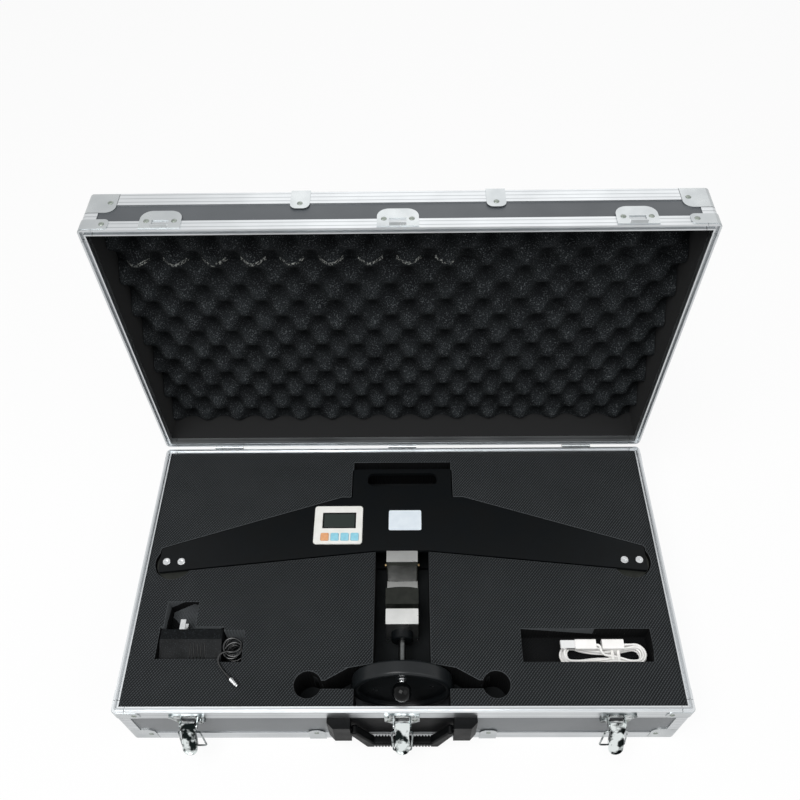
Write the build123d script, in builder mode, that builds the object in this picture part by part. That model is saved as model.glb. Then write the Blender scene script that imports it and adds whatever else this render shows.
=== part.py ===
from build123d import *
from math import cos, pi, radians, sin, tan
import os

# Portable rope tension tester lying in its fitted aluminium-edged case.
# X runs along the case, the latches face -Y, +Z is up.
# The origin is the middle of the case's underside. All sizes are millimetres.

os.makedirs("parts", exist_ok=True)

# Case
case_width = 640.0
case_depth = 360.0
base_height = 92.0
lid_height = 60.0
shut_gap = 1.0
corner_radius = 5.0
sheet = 1.2
wall_panel = 4.6
floor_panel = 5.0
joint_gap = 0.5

# Aluminium extrusions and pressed corners
base_band = 18.0
lid_band = 14.0
rim_inner_flange = 9.0
base_rim_web = 2.0
lid_rim_web = 6.0
tongue_inset = 2.8
tongue_thickness = 1.8
tongue_height = 2.5
tongue_clearance = 0.8
rim_key_length = 14.0
rail_width = 20.0
rail_edge_radius = 2.0
post_width = 16.0
cap_leg = 32.0
cap_corner_radius = 10.0
trim_sheet = 0.8
brace_leg = 30.0
brace_height = 15.0
brace_inset = 1.5
brace_corner_radius = 5.0
clip_width = 20.0
clip_height = 29.0
clip_dome_radius = 7.0
clip_offset = 100.0

# Hinges
hinge_offset = 235.0
hinge_width = 38.0
hinge_leaf = 25.0
hinge_standoff = 2.0
hinge_knuckle_radius = 2.5
hinge_pin_radius = 1.25
hinge_running_gap = 0.05
hinge_end_gap = 0.3

# Latches
latch_offset = 238.0
latch_plate_width = 39.0
latch_plate_drop = 6.0
latch_plate_height = 29.0
latch_plate_foot = 23.0
latch_shoulder_center = 7.0
latch_shoulder_side = 17.0
latch_lip_reach = 3.0
latch_window_width = 16.0
latch_window_height = 12.0
latch_window_drop = 20.0
latch_pivot_drop = 22.0
latch_pivot_reach = 8.0
latch_pin_radius = 1.25
latch_running_gap = 0.05
latch_ear_radius = 2.6
latch_ear_gap = 0.4
lever_top_width = 17.0
lever_waist = 14.6
lever_width = 16.4
lever_above_pivot = 5.5
lever_below_pivot = 36.5
lever_lean = 34.0
lever_sheet = 1.0
lever_sheet_offset = 1.4
lever_flange_back = 2.2
lever_flange_front = 3.4
lever_tip_open = 10.5
lever_waist_down = 9.0
lever_shoulder_down = 19.0
bail_wire_radius = 1.0
bail_pivot_down = 7.0
bail_length = 33.5
bail_half_width = 12.0
bail_running_gap = 0.08
bail_bend_radius = 2.6
bail_foot_center = 9.9
bail_foot_side = 14.0
bail_lean_center = 20.0
bail_lean_side = 9.0
lock_offset = 15.0
lock_drop = 18.0
lock_radius = 4.4
lock_height = 3.4
lock_plug_radius = 2.9
lock_running_gap = 0.08
key_slot_width = 1.0
catch_width = 42.0
catch_height = 27.0
catch_inset = 1.5
catch_dome_radius = 12.0
catch_window_width = 17.0
catch_window_height = 11.0
catch_hook_reach = 4.0

# Carrying handle
handle_plate_width = 168.0
handle_plate_height = 50.0
handle_plate_radius = 4.0
handle_mount_width = 26.0
handle_mount_height = 44.0
handle_mount_reach = 12.0
handle_mount_chamfer = 7.0
handle_pivot_drop = 38.0
handle_pivot_reach = 7.2
handle_pin_radius = 3.0
handle_pin_length = 9.0
handle_running_gap = 0.08
handle_side_gap = 0.4
handle_depth = 11.0
handle_arm_half = 6.0
handle_top_rise = 4.0
handle_bar_half_length = 36.0
handle_bar_drop = 42.0
handle_bar_height = 12.0
handle_edge_radius = 3.2
handle_round_radius = 2.5
grip_groove_depth = 0.7
grip_groove_width = 1.3
grip_groove_pitch = 3.6
grip_groove_count = 19

# Foam
foam_drop = 2.5
nest_gap = 1.5
seat_gap = 0.3
neck_room = 12.0
finger_hole_radius = 15.7
finger_hole_offset = 106.0
finger_hole_y = -147.5
finger_channel_width = 9.5
yoke_slot_half_width = 33.0
lid_foam_thickness = 20.0
lid_foam_back = 55.0
lid_foam_strip_height = 66.0
foam_joint_gap = 0.4
cable_pocket_depth = 26.0
lead_pocket_depth = 29.0
prong_pocket_depth = 30.0

# Tester plates
tester_drop = 2.0
tester_thickness = 52.0
plate_thickness = 5.0
arm_end_room = 20.0
arm_end_low = -6.0
arm_end_high = 27.0
arm_mid_low = 22.8
arm_mid_half = 33.5
shoulder_outer = 78.5
shoulder_high = 101.0
neck_half_width = 64.5
neck_top = 146.0
plate_corner_radius = 3.0
grip_slot_length = 91.0
grip_slot_height = 20.0
grip_slot_radius = 8.0
grip_slot_y = 129.5
sheave_inset = 18.0
sheave_y = 8.0
sheave_radius = 22.0
sheave_groove_radius = 12.0
sheave_groove_depth = 6.0
sheave_screw_pitch = 18.2
screw_head_radius = 4.8
screw_head_height = 2.0
screw_shank_radius = 2.5
screw_head_chamfer = 0.5
screw_socket_radius = 2.0
screw_socket_depth = 1.4
spacer_radius = 6.0
spacer_places = [(-140, 45), (140, 45), (-56, 110), (56, 110), (-200, 22), (200, 22)]

# Force frame, load cell and fixed jaw
frame_width = 38.6
frame_plate_gap = 0.5
head_low = 6.7
stem_width = 30.0
stem_high = 30.0
stem_inset = 5.0
back_bar_thickness = 9.0
screw_block_high = -55.6
screw_block_low = -75.3
anvil_thickness = 5.0
anvil_edge_radius = 1.2
load_cell_end = 86.0
load_cell_foot = 16.0
load_cell_inset = 3.0
load_cell_hole_radius = 9.0
load_cell_hole_pitch = 20.0
cross_pin_radius = 2.2
cross_pin_y = 16.0
cross_pin_reach = 2.6

# Moving jaw, screw and its bearing
jaw_width = 39.6
jaw_crown_y = -26.0
jaw_crown_rise = 2.0
jaw_split_y = -39.4
jaw_low = -48.5
jaw_guide_gap = 0.3
jaw_top_drop = 2.0
jaw_split_groove = 0.8
jaw_travel = 20.0
sleeve_radius = 8.9
sleeve_end_y = -77.1
running_gap = 0.1
screw_radius = 4.9
screw_tip_y = -33.0
screw_tip_chamfer = 1.2
screw_tip_room = 2.0
shaft_radius = 4.4
screw_lead = 2.0
thrust_cap_radius = 13.0
thrust_cap_length = 10.7
thrust_wall = 3.5
thrust_cap_chamfer = 0.9
thrust_flange_radius = 10.0
thrust_flange_length = 4.5
thrust_gap = 0.2

# Handwheel and crank knob
wheel_floor_gap = 1.0
wheel_face_y = -148.0
wheel_width = 17.5
wheel_rim_radial = 8.0
wheel_rim_edge_radius = 3.0
wheel_web_setback = 6.0
wheel_web = 7.0
wheel_hub_radius = 13.0
wheel_hub_reach = 5.0
wheel_pocket_gap = 2.5
wheel_pocket_side_gap = 3.0
knob_circle_radius = 40.0
knob_radius = 10.8
knob_back_gap = 0.5
knob_pocket_gap = 3.2
stud_radius = 3.0
stud_running_gap = 0.08
stud_nut_radius = 5.2
stud_nut_height = 2.5
stud_seat_radius = 6.7

# Display
display_x = -81.0
display_y = 59.5
display_width = 61.5
display_height = 55.6
display_flange = 2.2
display_corner_radius = 4.0
display_body_width = 58.0
display_body_height = 52.0
display_body_depth = 18.0
display_body_gap = 0.3
display_wall = 2.0
screen_x = -80.0
screen_y = 65.8
screen_width = 42.7
screen_height = 23.5
screen_recess = 0.8
screen_flange = 1.5
screen_thickness = 1.4
screen_gap = 0.1
button_names = ["power", "unit", "zero", "hold"]
button_row_x = -78.6
button_row_y = 41.5
button_pitch = 12.6
button_width = 10.0
button_height = 10.8
button_corner_radius = 1.6
button_proud = 1.2
button_travel = 0.8
button_side_gap = 0.25
button_flange = 0.5
button_flange_thickness = 1.0
button_flange_gap = 0.1
button_stem_radius = 1.5
board_gap = 0.4
board_thickness = 1.6
board_setback = 6.0
battery_x = 62.0
battery_y = 60.0
battery_radius = 9.0
battery_length = 48.0
battery_pole_radius = 3.0
battery_pole_length = 1.5

# Mains adapter and its lead
adapter_side_room = 37.5
adapter_length = 72.5
adapter_front = -115.5
adapter_width = 36.0
adapter_drop = 4.0
adapter_shoulder = 13.0
adapter_slant = 10.0
adapter_edge_radius = 1.5
adapter_pocket_gap = 1.5
adapter_slot_count = 4
adapter_slot_pitch = 4.2
adapter_slot_width = 1.6
adapter_slot_depth = 1.0
adapter_slot_reach = 44.5
prong_reach = 21.5
prong_pitch = 12.7
prong_drop = 15.4
prong_width = 6.3
prong_thickness = 1.5
prong_length = 16.0
prong_pocket_inset = 2.5
prong_pocket_width = 37.0
prong_pocket_length = 33.9
lead_radius = 1.3
coil_side_gap = 1.5
coil_outer_radius = 12.0
coil_inner_radius = 6.8
coil_height = 24.0
gland_radius = 2.6
gland_drop = 15.0
gland_taper = 2.0
gland_gap = 0.1
lead_pocket_side_gap = 0.6
lead_pocket_front_gap = 6.6
lead_pocket_back_gap = 7.2
lead_route = [
    (10.9, 5.7, -3.5),
    (9.7, -3.0, -1.9),
    (2.0, -7.5, -0.7),
    (-6.5, -6.3, 0.9),
    (-12.7, -11.0, 2.9),
    (-13.5, -19.5, 3.1),
    (-8.5, -27.5, 2.1),
    (-2.0, -34.0, 2.9),
]
lead_run_share = 0.45
plug_relief_length = 9.0
plug_relief_radius = 2.2
plug_barrel_length = 10.0
plug_barrel_radius = 2.75
plug_tip_length = 2.5
plug_tip_radius = 1.7

# Data cable
cable_side_room = 32.0
cable_pocket_length = 150.0
cable_pocket_front = -121.6
cable_pocket_width = 40.2
hank_end_gap = 4.0
hank_length = 100.0
hank_side_gap = 2.1
hank_width = 26.0
hank_height = 13.0
hank_edge_radius = 5.0
data_plug_inset = 4.0
data_plug_width = 12.0
data_plug_height = 6.6
data_plug_edge_radius = 1.5
usb_shell_length = 17.0
usb_shell_width = 9.6
usb_shell_height = 4.4
usb_body_length = 24.0
plug_spacing = 7.0
meter_plug_length = 25.0

# Places worked out from the sizes above
wall_total = sheet + wall_panel
rim_width = wall_total + sheet
hinge_y = case_depth / 2 + hinge_standoff
hinge_z = base_height + shut_gap / 2
hinge_stations = [-hinge_offset, 0, hinge_offset]
latch_stations = [-latch_offset, 0, latch_offset]
lid_mouth_y = hinge_y + shut_gap / 2
lid_center_z = hinge_z + hinge_y
base_frame = Plane((0, 0, base_height), x_dir=(-1, 0, 0), z_dir=(0, 0, -1))
lid_frame = Plane((0, lid_mouth_y, lid_center_z), x_dir=(1, 0, 0), z_dir=(0, 1, 0))
tester_top = base_height - tester_drop
tester_back = tester_top - tester_thickness
spindle_z = tester_top - tester_thickness / 2
foam_top_z = base_height - foam_drop
foam_split_z = tester_back - seat_gap
foam_width = case_width - 2 * rim_width
foam_depth = case_depth - 2 * rim_width
front_y = -case_depth / 2
arm_reach = case_width / 2 - arm_end_room
sheave_x = arm_reach - sheave_inset
wheel_radius = spindle_z - floor_panel - wheel_floor_gap
wheel_pocket_half_width = wheel_radius + wheel_pocket_side_gap
knob_pocket_half_width = knob_circle_radius + knob_radius + knob_pocket_gap
adapter_left = -case_width / 2 + adapter_side_room
adapter_right = adapter_left + adapter_length
adapter_back = adapter_front + adapter_width
adapter_shoulder_y = adapter_back - adapter_shoulder
adapter_high = base_height - adapter_drop
adapter_front_high = adapter_high - adapter_slant
coil_x = adapter_right + coil_side_gap + coil_outer_radius
coil_y = adapter_front + coil_side_gap + coil_outer_radius
cable_pocket_right = case_width / 2 - cable_side_room
cable_pocket_left = cable_pocket_right - cable_pocket_length
hank_left = cable_pocket_right - hank_end_gap - hank_length
hank_front = cable_pocket_front + hank_side_gap
data_plug_y = hank_front + hank_width - data_plug_inset
usb_left = hank_left
meter_plug_left = usb_left + usb_shell_length + usb_body_length + plug_spacing


def save(part, label):
    part.label = label
    export_step(part, f"parts/{label}.step")


def front_plane(x, drop=0.0, reach=0.0):
    """On the base's front wall: local y points up and local z points out of the wall."""
    return Plane((x, front_y - reach, base_height - drop), x_dir=(1, 0, 0), z_dir=(0, -1, 0))


def wall_face(frame, side):
    """Front (-1) or back (+1) wall of a tray: local y runs away from the mouth."""
    center = frame.from_local_coords(Vector(0, side * case_depth / 2, 0))
    return Plane(center, x_dir=frame.x_dir * -side, z_dir=frame.y_dir * side)


def spindle_plane(y):
    """Square to the tester's screw: local y points up and local z points at the latches."""
    return Plane((0, y, spindle_z), x_dir=(1, 0, 0), z_dir=(0, -1, 0))


# Case panels: a plywood tray whose floor stands flush between the rails


def tray_shell(frame, height, rim_web):
    with BuildPart() as shell:
        with BuildSketch(frame.offset(rim_web)):
            RectangleRounded(case_width - 2 * sheet, case_depth - 2 * sheet, corner_radius - sheet)
        extrude(amount=height - rim_web - sheet)
        with BuildSketch(frame.offset(height - sheet)):
            flange = rail_width + joint_gap
            Rectangle(case_width - 2 * flange, case_depth - 2 * flange)
            with GridLocations(case_width - cap_leg, case_depth - cap_leg, 2, 2):
                Rectangle(cap_leg + 2 * joint_gap, cap_leg + 2 * joint_gap, mode=Mode.SUBTRACT)
        extrude(amount=sheet)
        with BuildSketch(frame.offset(rim_web)):
            Rectangle(case_width - 2 * wall_total, case_depth - 2 * wall_total)
        extrude(amount=height - rim_web - floor_panel, mode=Mode.SUBTRACT)
    return shell.part


# Rim extrusions: band, web and inner flange, parted by fine joints beside the corners


def tray_rim(frame, band, rim_web, tongued):
    rings = [
        (0, sheet, 0, band),
        (0, rim_width, 0, rim_web),
        (wall_total, rim_width, 0, rim_inner_flange),
    ]
    if tongued:
        rings.append((tongue_inset, tongue_inset + tongue_thickness, -tongue_height, 0))
    with BuildPart() as rim:
        for outer, inner, start, end in rings:
            with BuildSketch(frame.offset(start)):
                RectangleRounded(case_width - 2 * outer, case_depth - 2 * outer,
                                 max(corner_radius - outer, sheet))
                Rectangle(case_width - 2 * inner, case_depth - 2 * inner, mode=Mode.SUBTRACT)
            extrude(amount=end - start)
        if not tongued:
            groove_outer = tongue_inset - tongue_clearance
            groove_inner = tongue_inset + tongue_thickness + tongue_clearance
            with BuildSketch(frame):
                Rectangle(case_width - 2 * groove_outer, case_depth - 2 * groove_outer)
                Rectangle(case_width - 2 * groove_inner, case_depth - 2 * groove_inner,
                          mode=Mode.SUBTRACT)
            extrude(amount=tongue_height + shut_gap, mode=Mode.SUBTRACT)
        with BuildSketch(frame.offset(-tongue_height)):
            with GridLocations(case_width - 2 * rim_key_length, 1, 2, 1):
                Rectangle(joint_gap, 2 * case_depth)
            with GridLocations(1, case_depth - 2 * rim_key_length, 1, 2):
                Rectangle(2 * case_width, joint_gap)
        extrude(amount=tongue_height + band, mode=Mode.SUBTRACT)
        notch = 2 * (hinge_knuckle_radius + hinge_end_gap)
        with Locations([(x, hinge_y, hinge_z) for x in hinge_stations]):
            Box(hinge_width + 2 * joint_gap, notch, notch, mode=Mode.SUBTRACT)
    return rim.part


# Outer skin of a tray, from which the rails, posts and corner caps are taken


def tray_skin(frame, height):
    with BuildPart() as skin:
        with BuildSketch(frame):
            RectangleRounded(case_width, case_depth, corner_radius)
        extrude(amount=height)
        fillet(skin.faces().sort_by(Axis(frame.origin, frame.z_dir))[-1].edges(), rail_edge_radius)
        with BuildSketch(frame):
            RectangleRounded(case_width - 2 * sheet, case_depth - 2 * sheet, corner_radius - sheet)
        extrude(amount=height - sheet, mode=Mode.SUBTRACT)
    return skin.part


def tray_rails(frame, height):
    with BuildPart() as rails:
        add(tray_skin(frame, height))
        with BuildSketch(frame.offset(height - rail_width)):
            with GridLocations(1, case_depth - rail_width, 1, 2):
                Rectangle(case_width - 2 * (cap_leg + joint_gap), rail_width)
            with GridLocations(case_width - rail_width, 1, 2, 1):
                Rectangle(rail_width, case_depth - 2 * (cap_leg + joint_gap))
        extrude(amount=rail_width, mode=Mode.INTERSECT)
    return rails.part


def tray_posts(frame, height, band):
    with BuildPart() as posts:
        add(tray_skin(frame, height))
        with BuildSketch(frame.offset(band + joint_gap)):
            with GridLocations(case_width - post_width, case_depth - post_width, 2, 2):
                Rectangle(post_width, post_width)
        extrude(amount=height - band - cap_leg - 2 * joint_gap, mode=Mode.INTERSECT)
    return posts.part


def corner_mask(frame, leg, start, end, radius):
    """The stretches within leg of each corner, with rounded free corners on every face."""
    reach = leg + 2 * radius
    inset = leg - 2 * radius
    with BuildPart() as mask:
        with BuildSketch(frame.offset(start)):
            with GridLocations(case_width - inset, case_depth - inset, 2, 2):
                RectangleRounded(reach, reach, radius)
        extrude(amount=end - start)
        for span, across, along in [
            (case_width, frame.x_dir, frame.y_dir),
            (case_depth, frame.y_dir * -1, frame.x_dir),
        ]:
            profile = Plane(frame.origin, x_dir=across, z_dir=along)
            with BuildSketch(profile):
                with Locations((0, -(start + end) / 2)):
                    with GridLocations(span - inset, 1, 2, 1):
                        RectangleRounded(reach, end - start, radius)
            extrude(amount=case_width, both=True, mode=Mode.INTERSECT)
    return mask.part


def tray_caps(frame, height):
    with BuildPart() as caps:
        add(tray_skin(frame, height))
        add(corner_mask(frame, cap_leg, height - cap_leg, height + 2 * cap_corner_radius,
                        cap_corner_radius), mode=Mode.INTERSECT)
    return caps.part


def tray_braces(frame):
    with BuildPart() as braces:
        with BuildSketch(frame.offset(brace_inset)):
            RectangleRounded(case_width + 2 * trim_sheet, case_depth + 2 * trim_sheet,
                             corner_radius + trim_sheet)
            RectangleRounded(case_width, case_depth, corner_radius, mode=Mode.SUBTRACT)
        extrude(amount=brace_height)
        add(corner_mask(frame, brace_leg, brace_inset, brace_inset + brace_height,
                        brace_corner_radius), mode=Mode.INTERSECT)
    return braces.part


def tray_clips(frame, height):
    with BuildPart() as clips:
        for side in (-1, 1):
            with BuildSketch(wall_face(frame, side)) as clip:
                with Locations((0, height - clip_height / 2)):
                    with GridLocations(2 * clip_offset, 1, 2, 1):
                        Rectangle(clip_width, clip_height)
                fillet(clip.vertices().group_by(Axis.Y)[0], clip_dome_radius)
            extrude(amount=trim_sheet)
        add(tray_braces(frame))
    return clips.part


for name, frame, height, band, web, tongued in [
    ("base", base_frame, base_height, base_band, base_rim_web, True),
    ("lid", lid_frame, lid_height, lid_band, lid_rim_web, False),
]:
    save(tray_shell(frame, height, web), f"{name}_shell")
    save(tray_rim(frame, band, web, tongued), f"{name}_rim")
    with BuildPart() as rails:
        add(tray_rails(frame, height))
        add(tray_posts(frame, height, band))
    save(rails.part, f"{name}_rails")
    save(tray_caps(frame, height), f"{name}_corner_caps")
    save(tray_clips(frame, height), f"{name}_clips")

# Butt hinges: two base knuckles, one lid knuckle and a loose pin each

hinge_knuckle = (hinge_width - 2 * hinge_end_gap) / 3
hinge_bore_radius = hinge_pin_radius + hinge_running_gap
leaf_offset = hinge_standoff - sheet / 2


def hinge_leaf_at(x, leaf_center, leaf_size, cleared):
    zone = 2 * (hinge_knuckle_radius + hinge_end_gap)
    with BuildPart() as leaf:
        with BuildSketch(Plane.YZ.offset(x - hinge_width / 2)):
            with Locations((hinge_y, hinge_z)):
                Circle(hinge_knuckle_radius)
            with Locations((hinge_y + leaf_center[0], hinge_z + leaf_center[1])):
                Rectangle(*leaf_size)
        extrude(amount=hinge_width)
        with Locations([(x + dx, hinge_y, hinge_z) for dx in cleared]):
            Box(hinge_knuckle + 2 * hinge_end_gap, zone, zone, mode=Mode.SUBTRACT)
        with Locations(Location((x, hinge_y, hinge_z), (0, 90, 0))):
            Cylinder(hinge_bore_radius, 2 * hinge_width, mode=Mode.SUBTRACT)
    return leaf.part


outer_knuckle = hinge_knuckle + hinge_end_gap

with BuildPart() as hinge_base_leaves:
    for x in hinge_stations:
        add(hinge_leaf_at(x, (-leaf_offset, -hinge_leaf / 2), (sheet, hinge_leaf), [0]))
save(hinge_base_leaves.part, "hinge_base_leaves")

with BuildPart() as hinge_lid_leaves:
    for x in hinge_stations:
        add(hinge_leaf_at(x, (hinge_leaf / 2, leaf_offset), (hinge_leaf, sheet),
                          [-outer_knuckle, outer_knuckle]))
save(hinge_lid_leaves.part, "hinge_lid_leaves")

with BuildPart() as hinge_pins:
    for x in hinge_stations:
        with BuildSketch(Plane.YZ.offset(x - hinge_width / 2)):
            with Locations((hinge_y, hinge_z)):
                Circle(hinge_pin_radius)
        extrude(amount=hinge_width)
save(hinge_pins.part, "hinge_pins")

# Latch plates with folded ears and pivot pins; the side plates slope down to the lever

latch_pivot_y = front_y - latch_pivot_reach
latch_pivot_z = base_height - latch_pivot_drop
ear_inner = lever_top_width / 2 + latch_ear_gap
ear_outer = ear_inner + sheet


def latch_plate_at(x):
    half = latch_plate_width / 2
    foot = latch_plate_foot / 2
    low = -latch_plate_drop - latch_plate_height
    shoulder = low + (latch_shoulder_center if x == 0 else latch_shoulder_side)
    with BuildPart() as plate:
        with BuildSketch(front_plane(x)):
            with BuildLine():
                Polyline((0, -latch_plate_drop), (half, -latch_plate_drop), (half, shoulder),
                         (foot, low), (0, low))
                mirror(about=Plane.YZ)
            make_face()
            with Locations((0, -latch_window_drop)):
                Rectangle(latch_window_width, latch_window_height, mode=Mode.SUBTRACT)
        extrude(amount=sheet)
        with BuildSketch(front_plane(x, latch_plate_drop + sheet / 2, sheet)):
            Rectangle(latch_plate_width, sheet)
            Rectangle(2 * (bail_half_width + 2 * bail_wire_radius), sheet, mode=Mode.SUBTRACT)
        extrude(amount=latch_lip_reach)
        for side in (-1, 1):
            with BuildSketch(Plane.YZ.offset(x + side * (ear_inner + sheet / 2))):
                with Locations((latch_pivot_y, latch_pivot_z)):
                    Circle(latch_ear_radius)
                with Locations(((latch_pivot_y + front_y) / 2, latch_pivot_z)):
                    Rectangle(latch_pivot_reach, 2 * latch_ear_radius)
            extrude(amount=sheet / 2, both=True)
        with Locations(Location((x, latch_pivot_y, latch_pivot_z), (0, 90, 0))):
            Cylinder(latch_pin_radius, 2 * ear_outer)
    return plate.part


with BuildPart() as latch_plates:
    for x in latch_stations:
        add(latch_plate_at(x))
save(latch_plates.part, "latch_plates")

# Key locks beside the outer latches: a collar with a plug that turns in it

lock_x = latch_offset - lock_offset

with BuildPart() as lock_collars:
    for side in (-1, 1):
        with BuildSketch(front_plane(side * lock_x, lock_drop, sheet)):
            Circle(lock_radius)
            Circle(lock_plug_radius + lock_running_gap, mode=Mode.SUBTRACT)
        extrude(amount=lock_height)
save(lock_collars.part, "lock_collars")

for name, side in [("left", -1), ("right", 1)]:
    with BuildPart() as lock_plug:
        with BuildSketch(front_plane(side * lock_x, lock_drop, sheet)):
            Circle(lock_plug_radius)
        extrude(amount=lock_height)
        with BuildSketch(front_plane(side * lock_x, lock_drop, sheet + lock_height)):
            Rectangle(key_slot_width, lock_radius)
        extrude(amount=-key_slot_width, mode=Mode.SUBTRACT)
    save(lock_plug.part, f"lock_plug_{name}")

# Levers: pressed channels, wide at the ears, waisted and round at the tip


def lever_plane(x):
    lean = radians(lever_lean)
    return Plane((x, latch_pivot_y, latch_pivot_z), x_dir=(1, 0, 0),
                 z_dir=(0, -cos(lean), sin(lean)))


def lever_outline(inset, top):
    top_half = lever_top_width / 2 - inset
    waist_half = lever_waist / 2 - inset
    half = lever_width / 2 - inset
    tip_y = -lever_below_pivot + lever_width / 2
    with BuildSketch() as outline:
        with BuildLine():
            low = Polyline((0, top), (top_half, top), (top_half, -latch_ear_radius),
                           (waist_half, -lever_waist_down), (half, -lever_shoulder_down),
                           (half, tip_y))
            ThreePointArc(low @ 1, (half * sin(pi / 4), tip_y - half * cos(pi / 4)),
                          (0, tip_y - half))
            mirror(about=Plane.YZ)
        make_face()
    return outline.sketch


def latch_lever(x):
    flange = lever_flange_back + lever_flange_front
    with BuildPart() as lever:
        with BuildSketch(Plane.XY.offset(-lever_flange_back)):
            add(lever_outline(0, lever_above_pivot))
        extrude(amount=flange)
        for start, depth in [
            (-lever_flange_back, lever_flange_back + lever_sheet_offset),
            (lever_sheet_offset + lever_sheet, flange),
        ]:
            with BuildSketch(Plane.XY.offset(start)):
                add(lever_outline(sheet, lever_above_pivot + sheet))
            extrude(amount=depth, mode=Mode.SUBTRACT)
        with BuildSketch(Plane.XY.offset(-lever_flange_back)):
            with Locations((0, -lever_below_pivot)):
                Rectangle(2 * lever_width, 2 * lever_tip_open)
        extrude(amount=lever_flange_back + lever_sheet_offset, mode=Mode.SUBTRACT)
        with BuildSketch(Plane.YZ):
            Circle(latch_pin_radius + latch_running_gap)
            with Locations((-bail_pivot_down, 0)):
                Circle(bail_wire_radius + bail_running_gap)
        extrude(amount=lever_width, both=True, mode=Mode.SUBTRACT)
    return lever.part.moved(lever_plane(x).location)


# Wire bails: ends turned into the lever's sides, foot bar across the bottom


def latch_bail(x, foot_half, lean_angle):
    lever = lever_plane(x)
    pivot = lever.from_local_coords(Vector(0, -bail_pivot_down, 0))
    lean = radians(lean_angle)
    plane = Plane(pivot, x_dir=(1, 0, 0), z_dir=(0, -cos(lean), sin(lean)))
    inner_end = lever_waist / 2 - sheet
    with BuildPart() as bail:
        with BuildLine(plane) as wire:
            FilletPolyline((-inner_end, 0), (-bail_half_width, 0), (-foot_half, -bail_length),
                           (foot_half, -bail_length), (bail_half_width, 0), (inner_end, 0),
                           radius=bail_bend_radius)
        with BuildSketch(Plane(wire.line @ 0, z_dir=wire.line % 0)):
            Circle(bail_wire_radius)
        sweep()
    return bail.part


for name, x in [("left", -latch_offset), ("center", 0), ("right", latch_offset)]:
    save(latch_lever(x), f"latch_lever_{name}")
    foot, lean = (bail_foot_center, bail_lean_center) if x == 0 else (bail_foot_side, bail_lean_side)
    save(latch_bail(x, foot, lean), f"latch_bail_{name}")

# Catch plates on the lid's front wall, each with a hook folded out of its window

with BuildPart() as catch_plates:
    face = wall_face(lid_frame, -1)
    hook_line = catch_inset + sheet / 2
    with BuildSketch(face) as catch:
        for x in latch_stations:
            with Locations((x, catch_inset + catch_height / 2)):
                Rectangle(catch_width, catch_height)
        fillet(catch.vertices().group_by(Axis.Y)[-1], catch_dome_radius)
        for x in latch_stations:
            with Locations((x, catch_inset + sheet + catch_window_height / 2)):
                Rectangle(catch_window_width, catch_window_height, mode=Mode.SUBTRACT)
    extrude(amount=sheet)
    with BuildSketch(face.offset(sheet)):
        with Locations([(x, hook_line) for x in latch_stations]):
            Rectangle(catch_window_width, sheet)
    extrude(amount=catch_hook_reach)
save(catch_plates.part, "catch_plates")

# Handle: back plate with two side mounts, and a ribbed grip that hangs from them

handle_plate_drop = base_band + joint_gap
handle_plate_middle = handle_plate_drop + handle_plate_height / 2
mount_inner = handle_plate_width / 2 - handle_mount_width
mount_low = base_height - handle_plate_drop - handle_mount_height
handle_pivot_y = front_y - handle_pivot_reach
handle_pivot_z = base_height - handle_pivot_drop
grip_half_width = mount_inner - handle_side_gap

with BuildPart() as handle_mount:
    with BuildSketch(front_plane(0, handle_plate_middle, -sheet)):
        RectangleRounded(handle_plate_width, handle_plate_height, handle_plate_radius)
    extrude(amount=sheet)
    with BuildSketch(Plane.XY.offset(mount_low)):
        with BuildLine():
            Polyline(
                (mount_inner, front_y),
                (mount_inner + handle_mount_width, front_y),
                (mount_inner + handle_mount_width, front_y - handle_mount_reach
                 + handle_mount_chamfer),
                (mount_inner + handle_mount_width - handle_mount_chamfer,
                 front_y - handle_mount_reach),
                (mount_inner, front_y - handle_mount_reach),
                close=True,
            )
        make_face()
        mirror(about=Plane.YZ)
    extrude(amount=handle_mount_height)
    with Locations(Location((0, handle_pivot_y, handle_pivot_z), (0, 90, 0))):
        Cylinder(handle_pin_radius + handle_running_gap,
                 2 * (grip_half_width + handle_pin_length + handle_side_gap), mode=Mode.SUBTRACT)
save(handle_mount.part, "handle_mount")

bar_middle_z = handle_pivot_z - handle_bar_drop
bar_low_z = bar_middle_z - handle_bar_height / 2
bar_high_z = bar_middle_z + handle_bar_height / 2
grip_front = Plane((0, handle_pivot_y - handle_depth / 2, 0), x_dir=(1, 0, 0), z_dir=(0, -1, 0))

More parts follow.
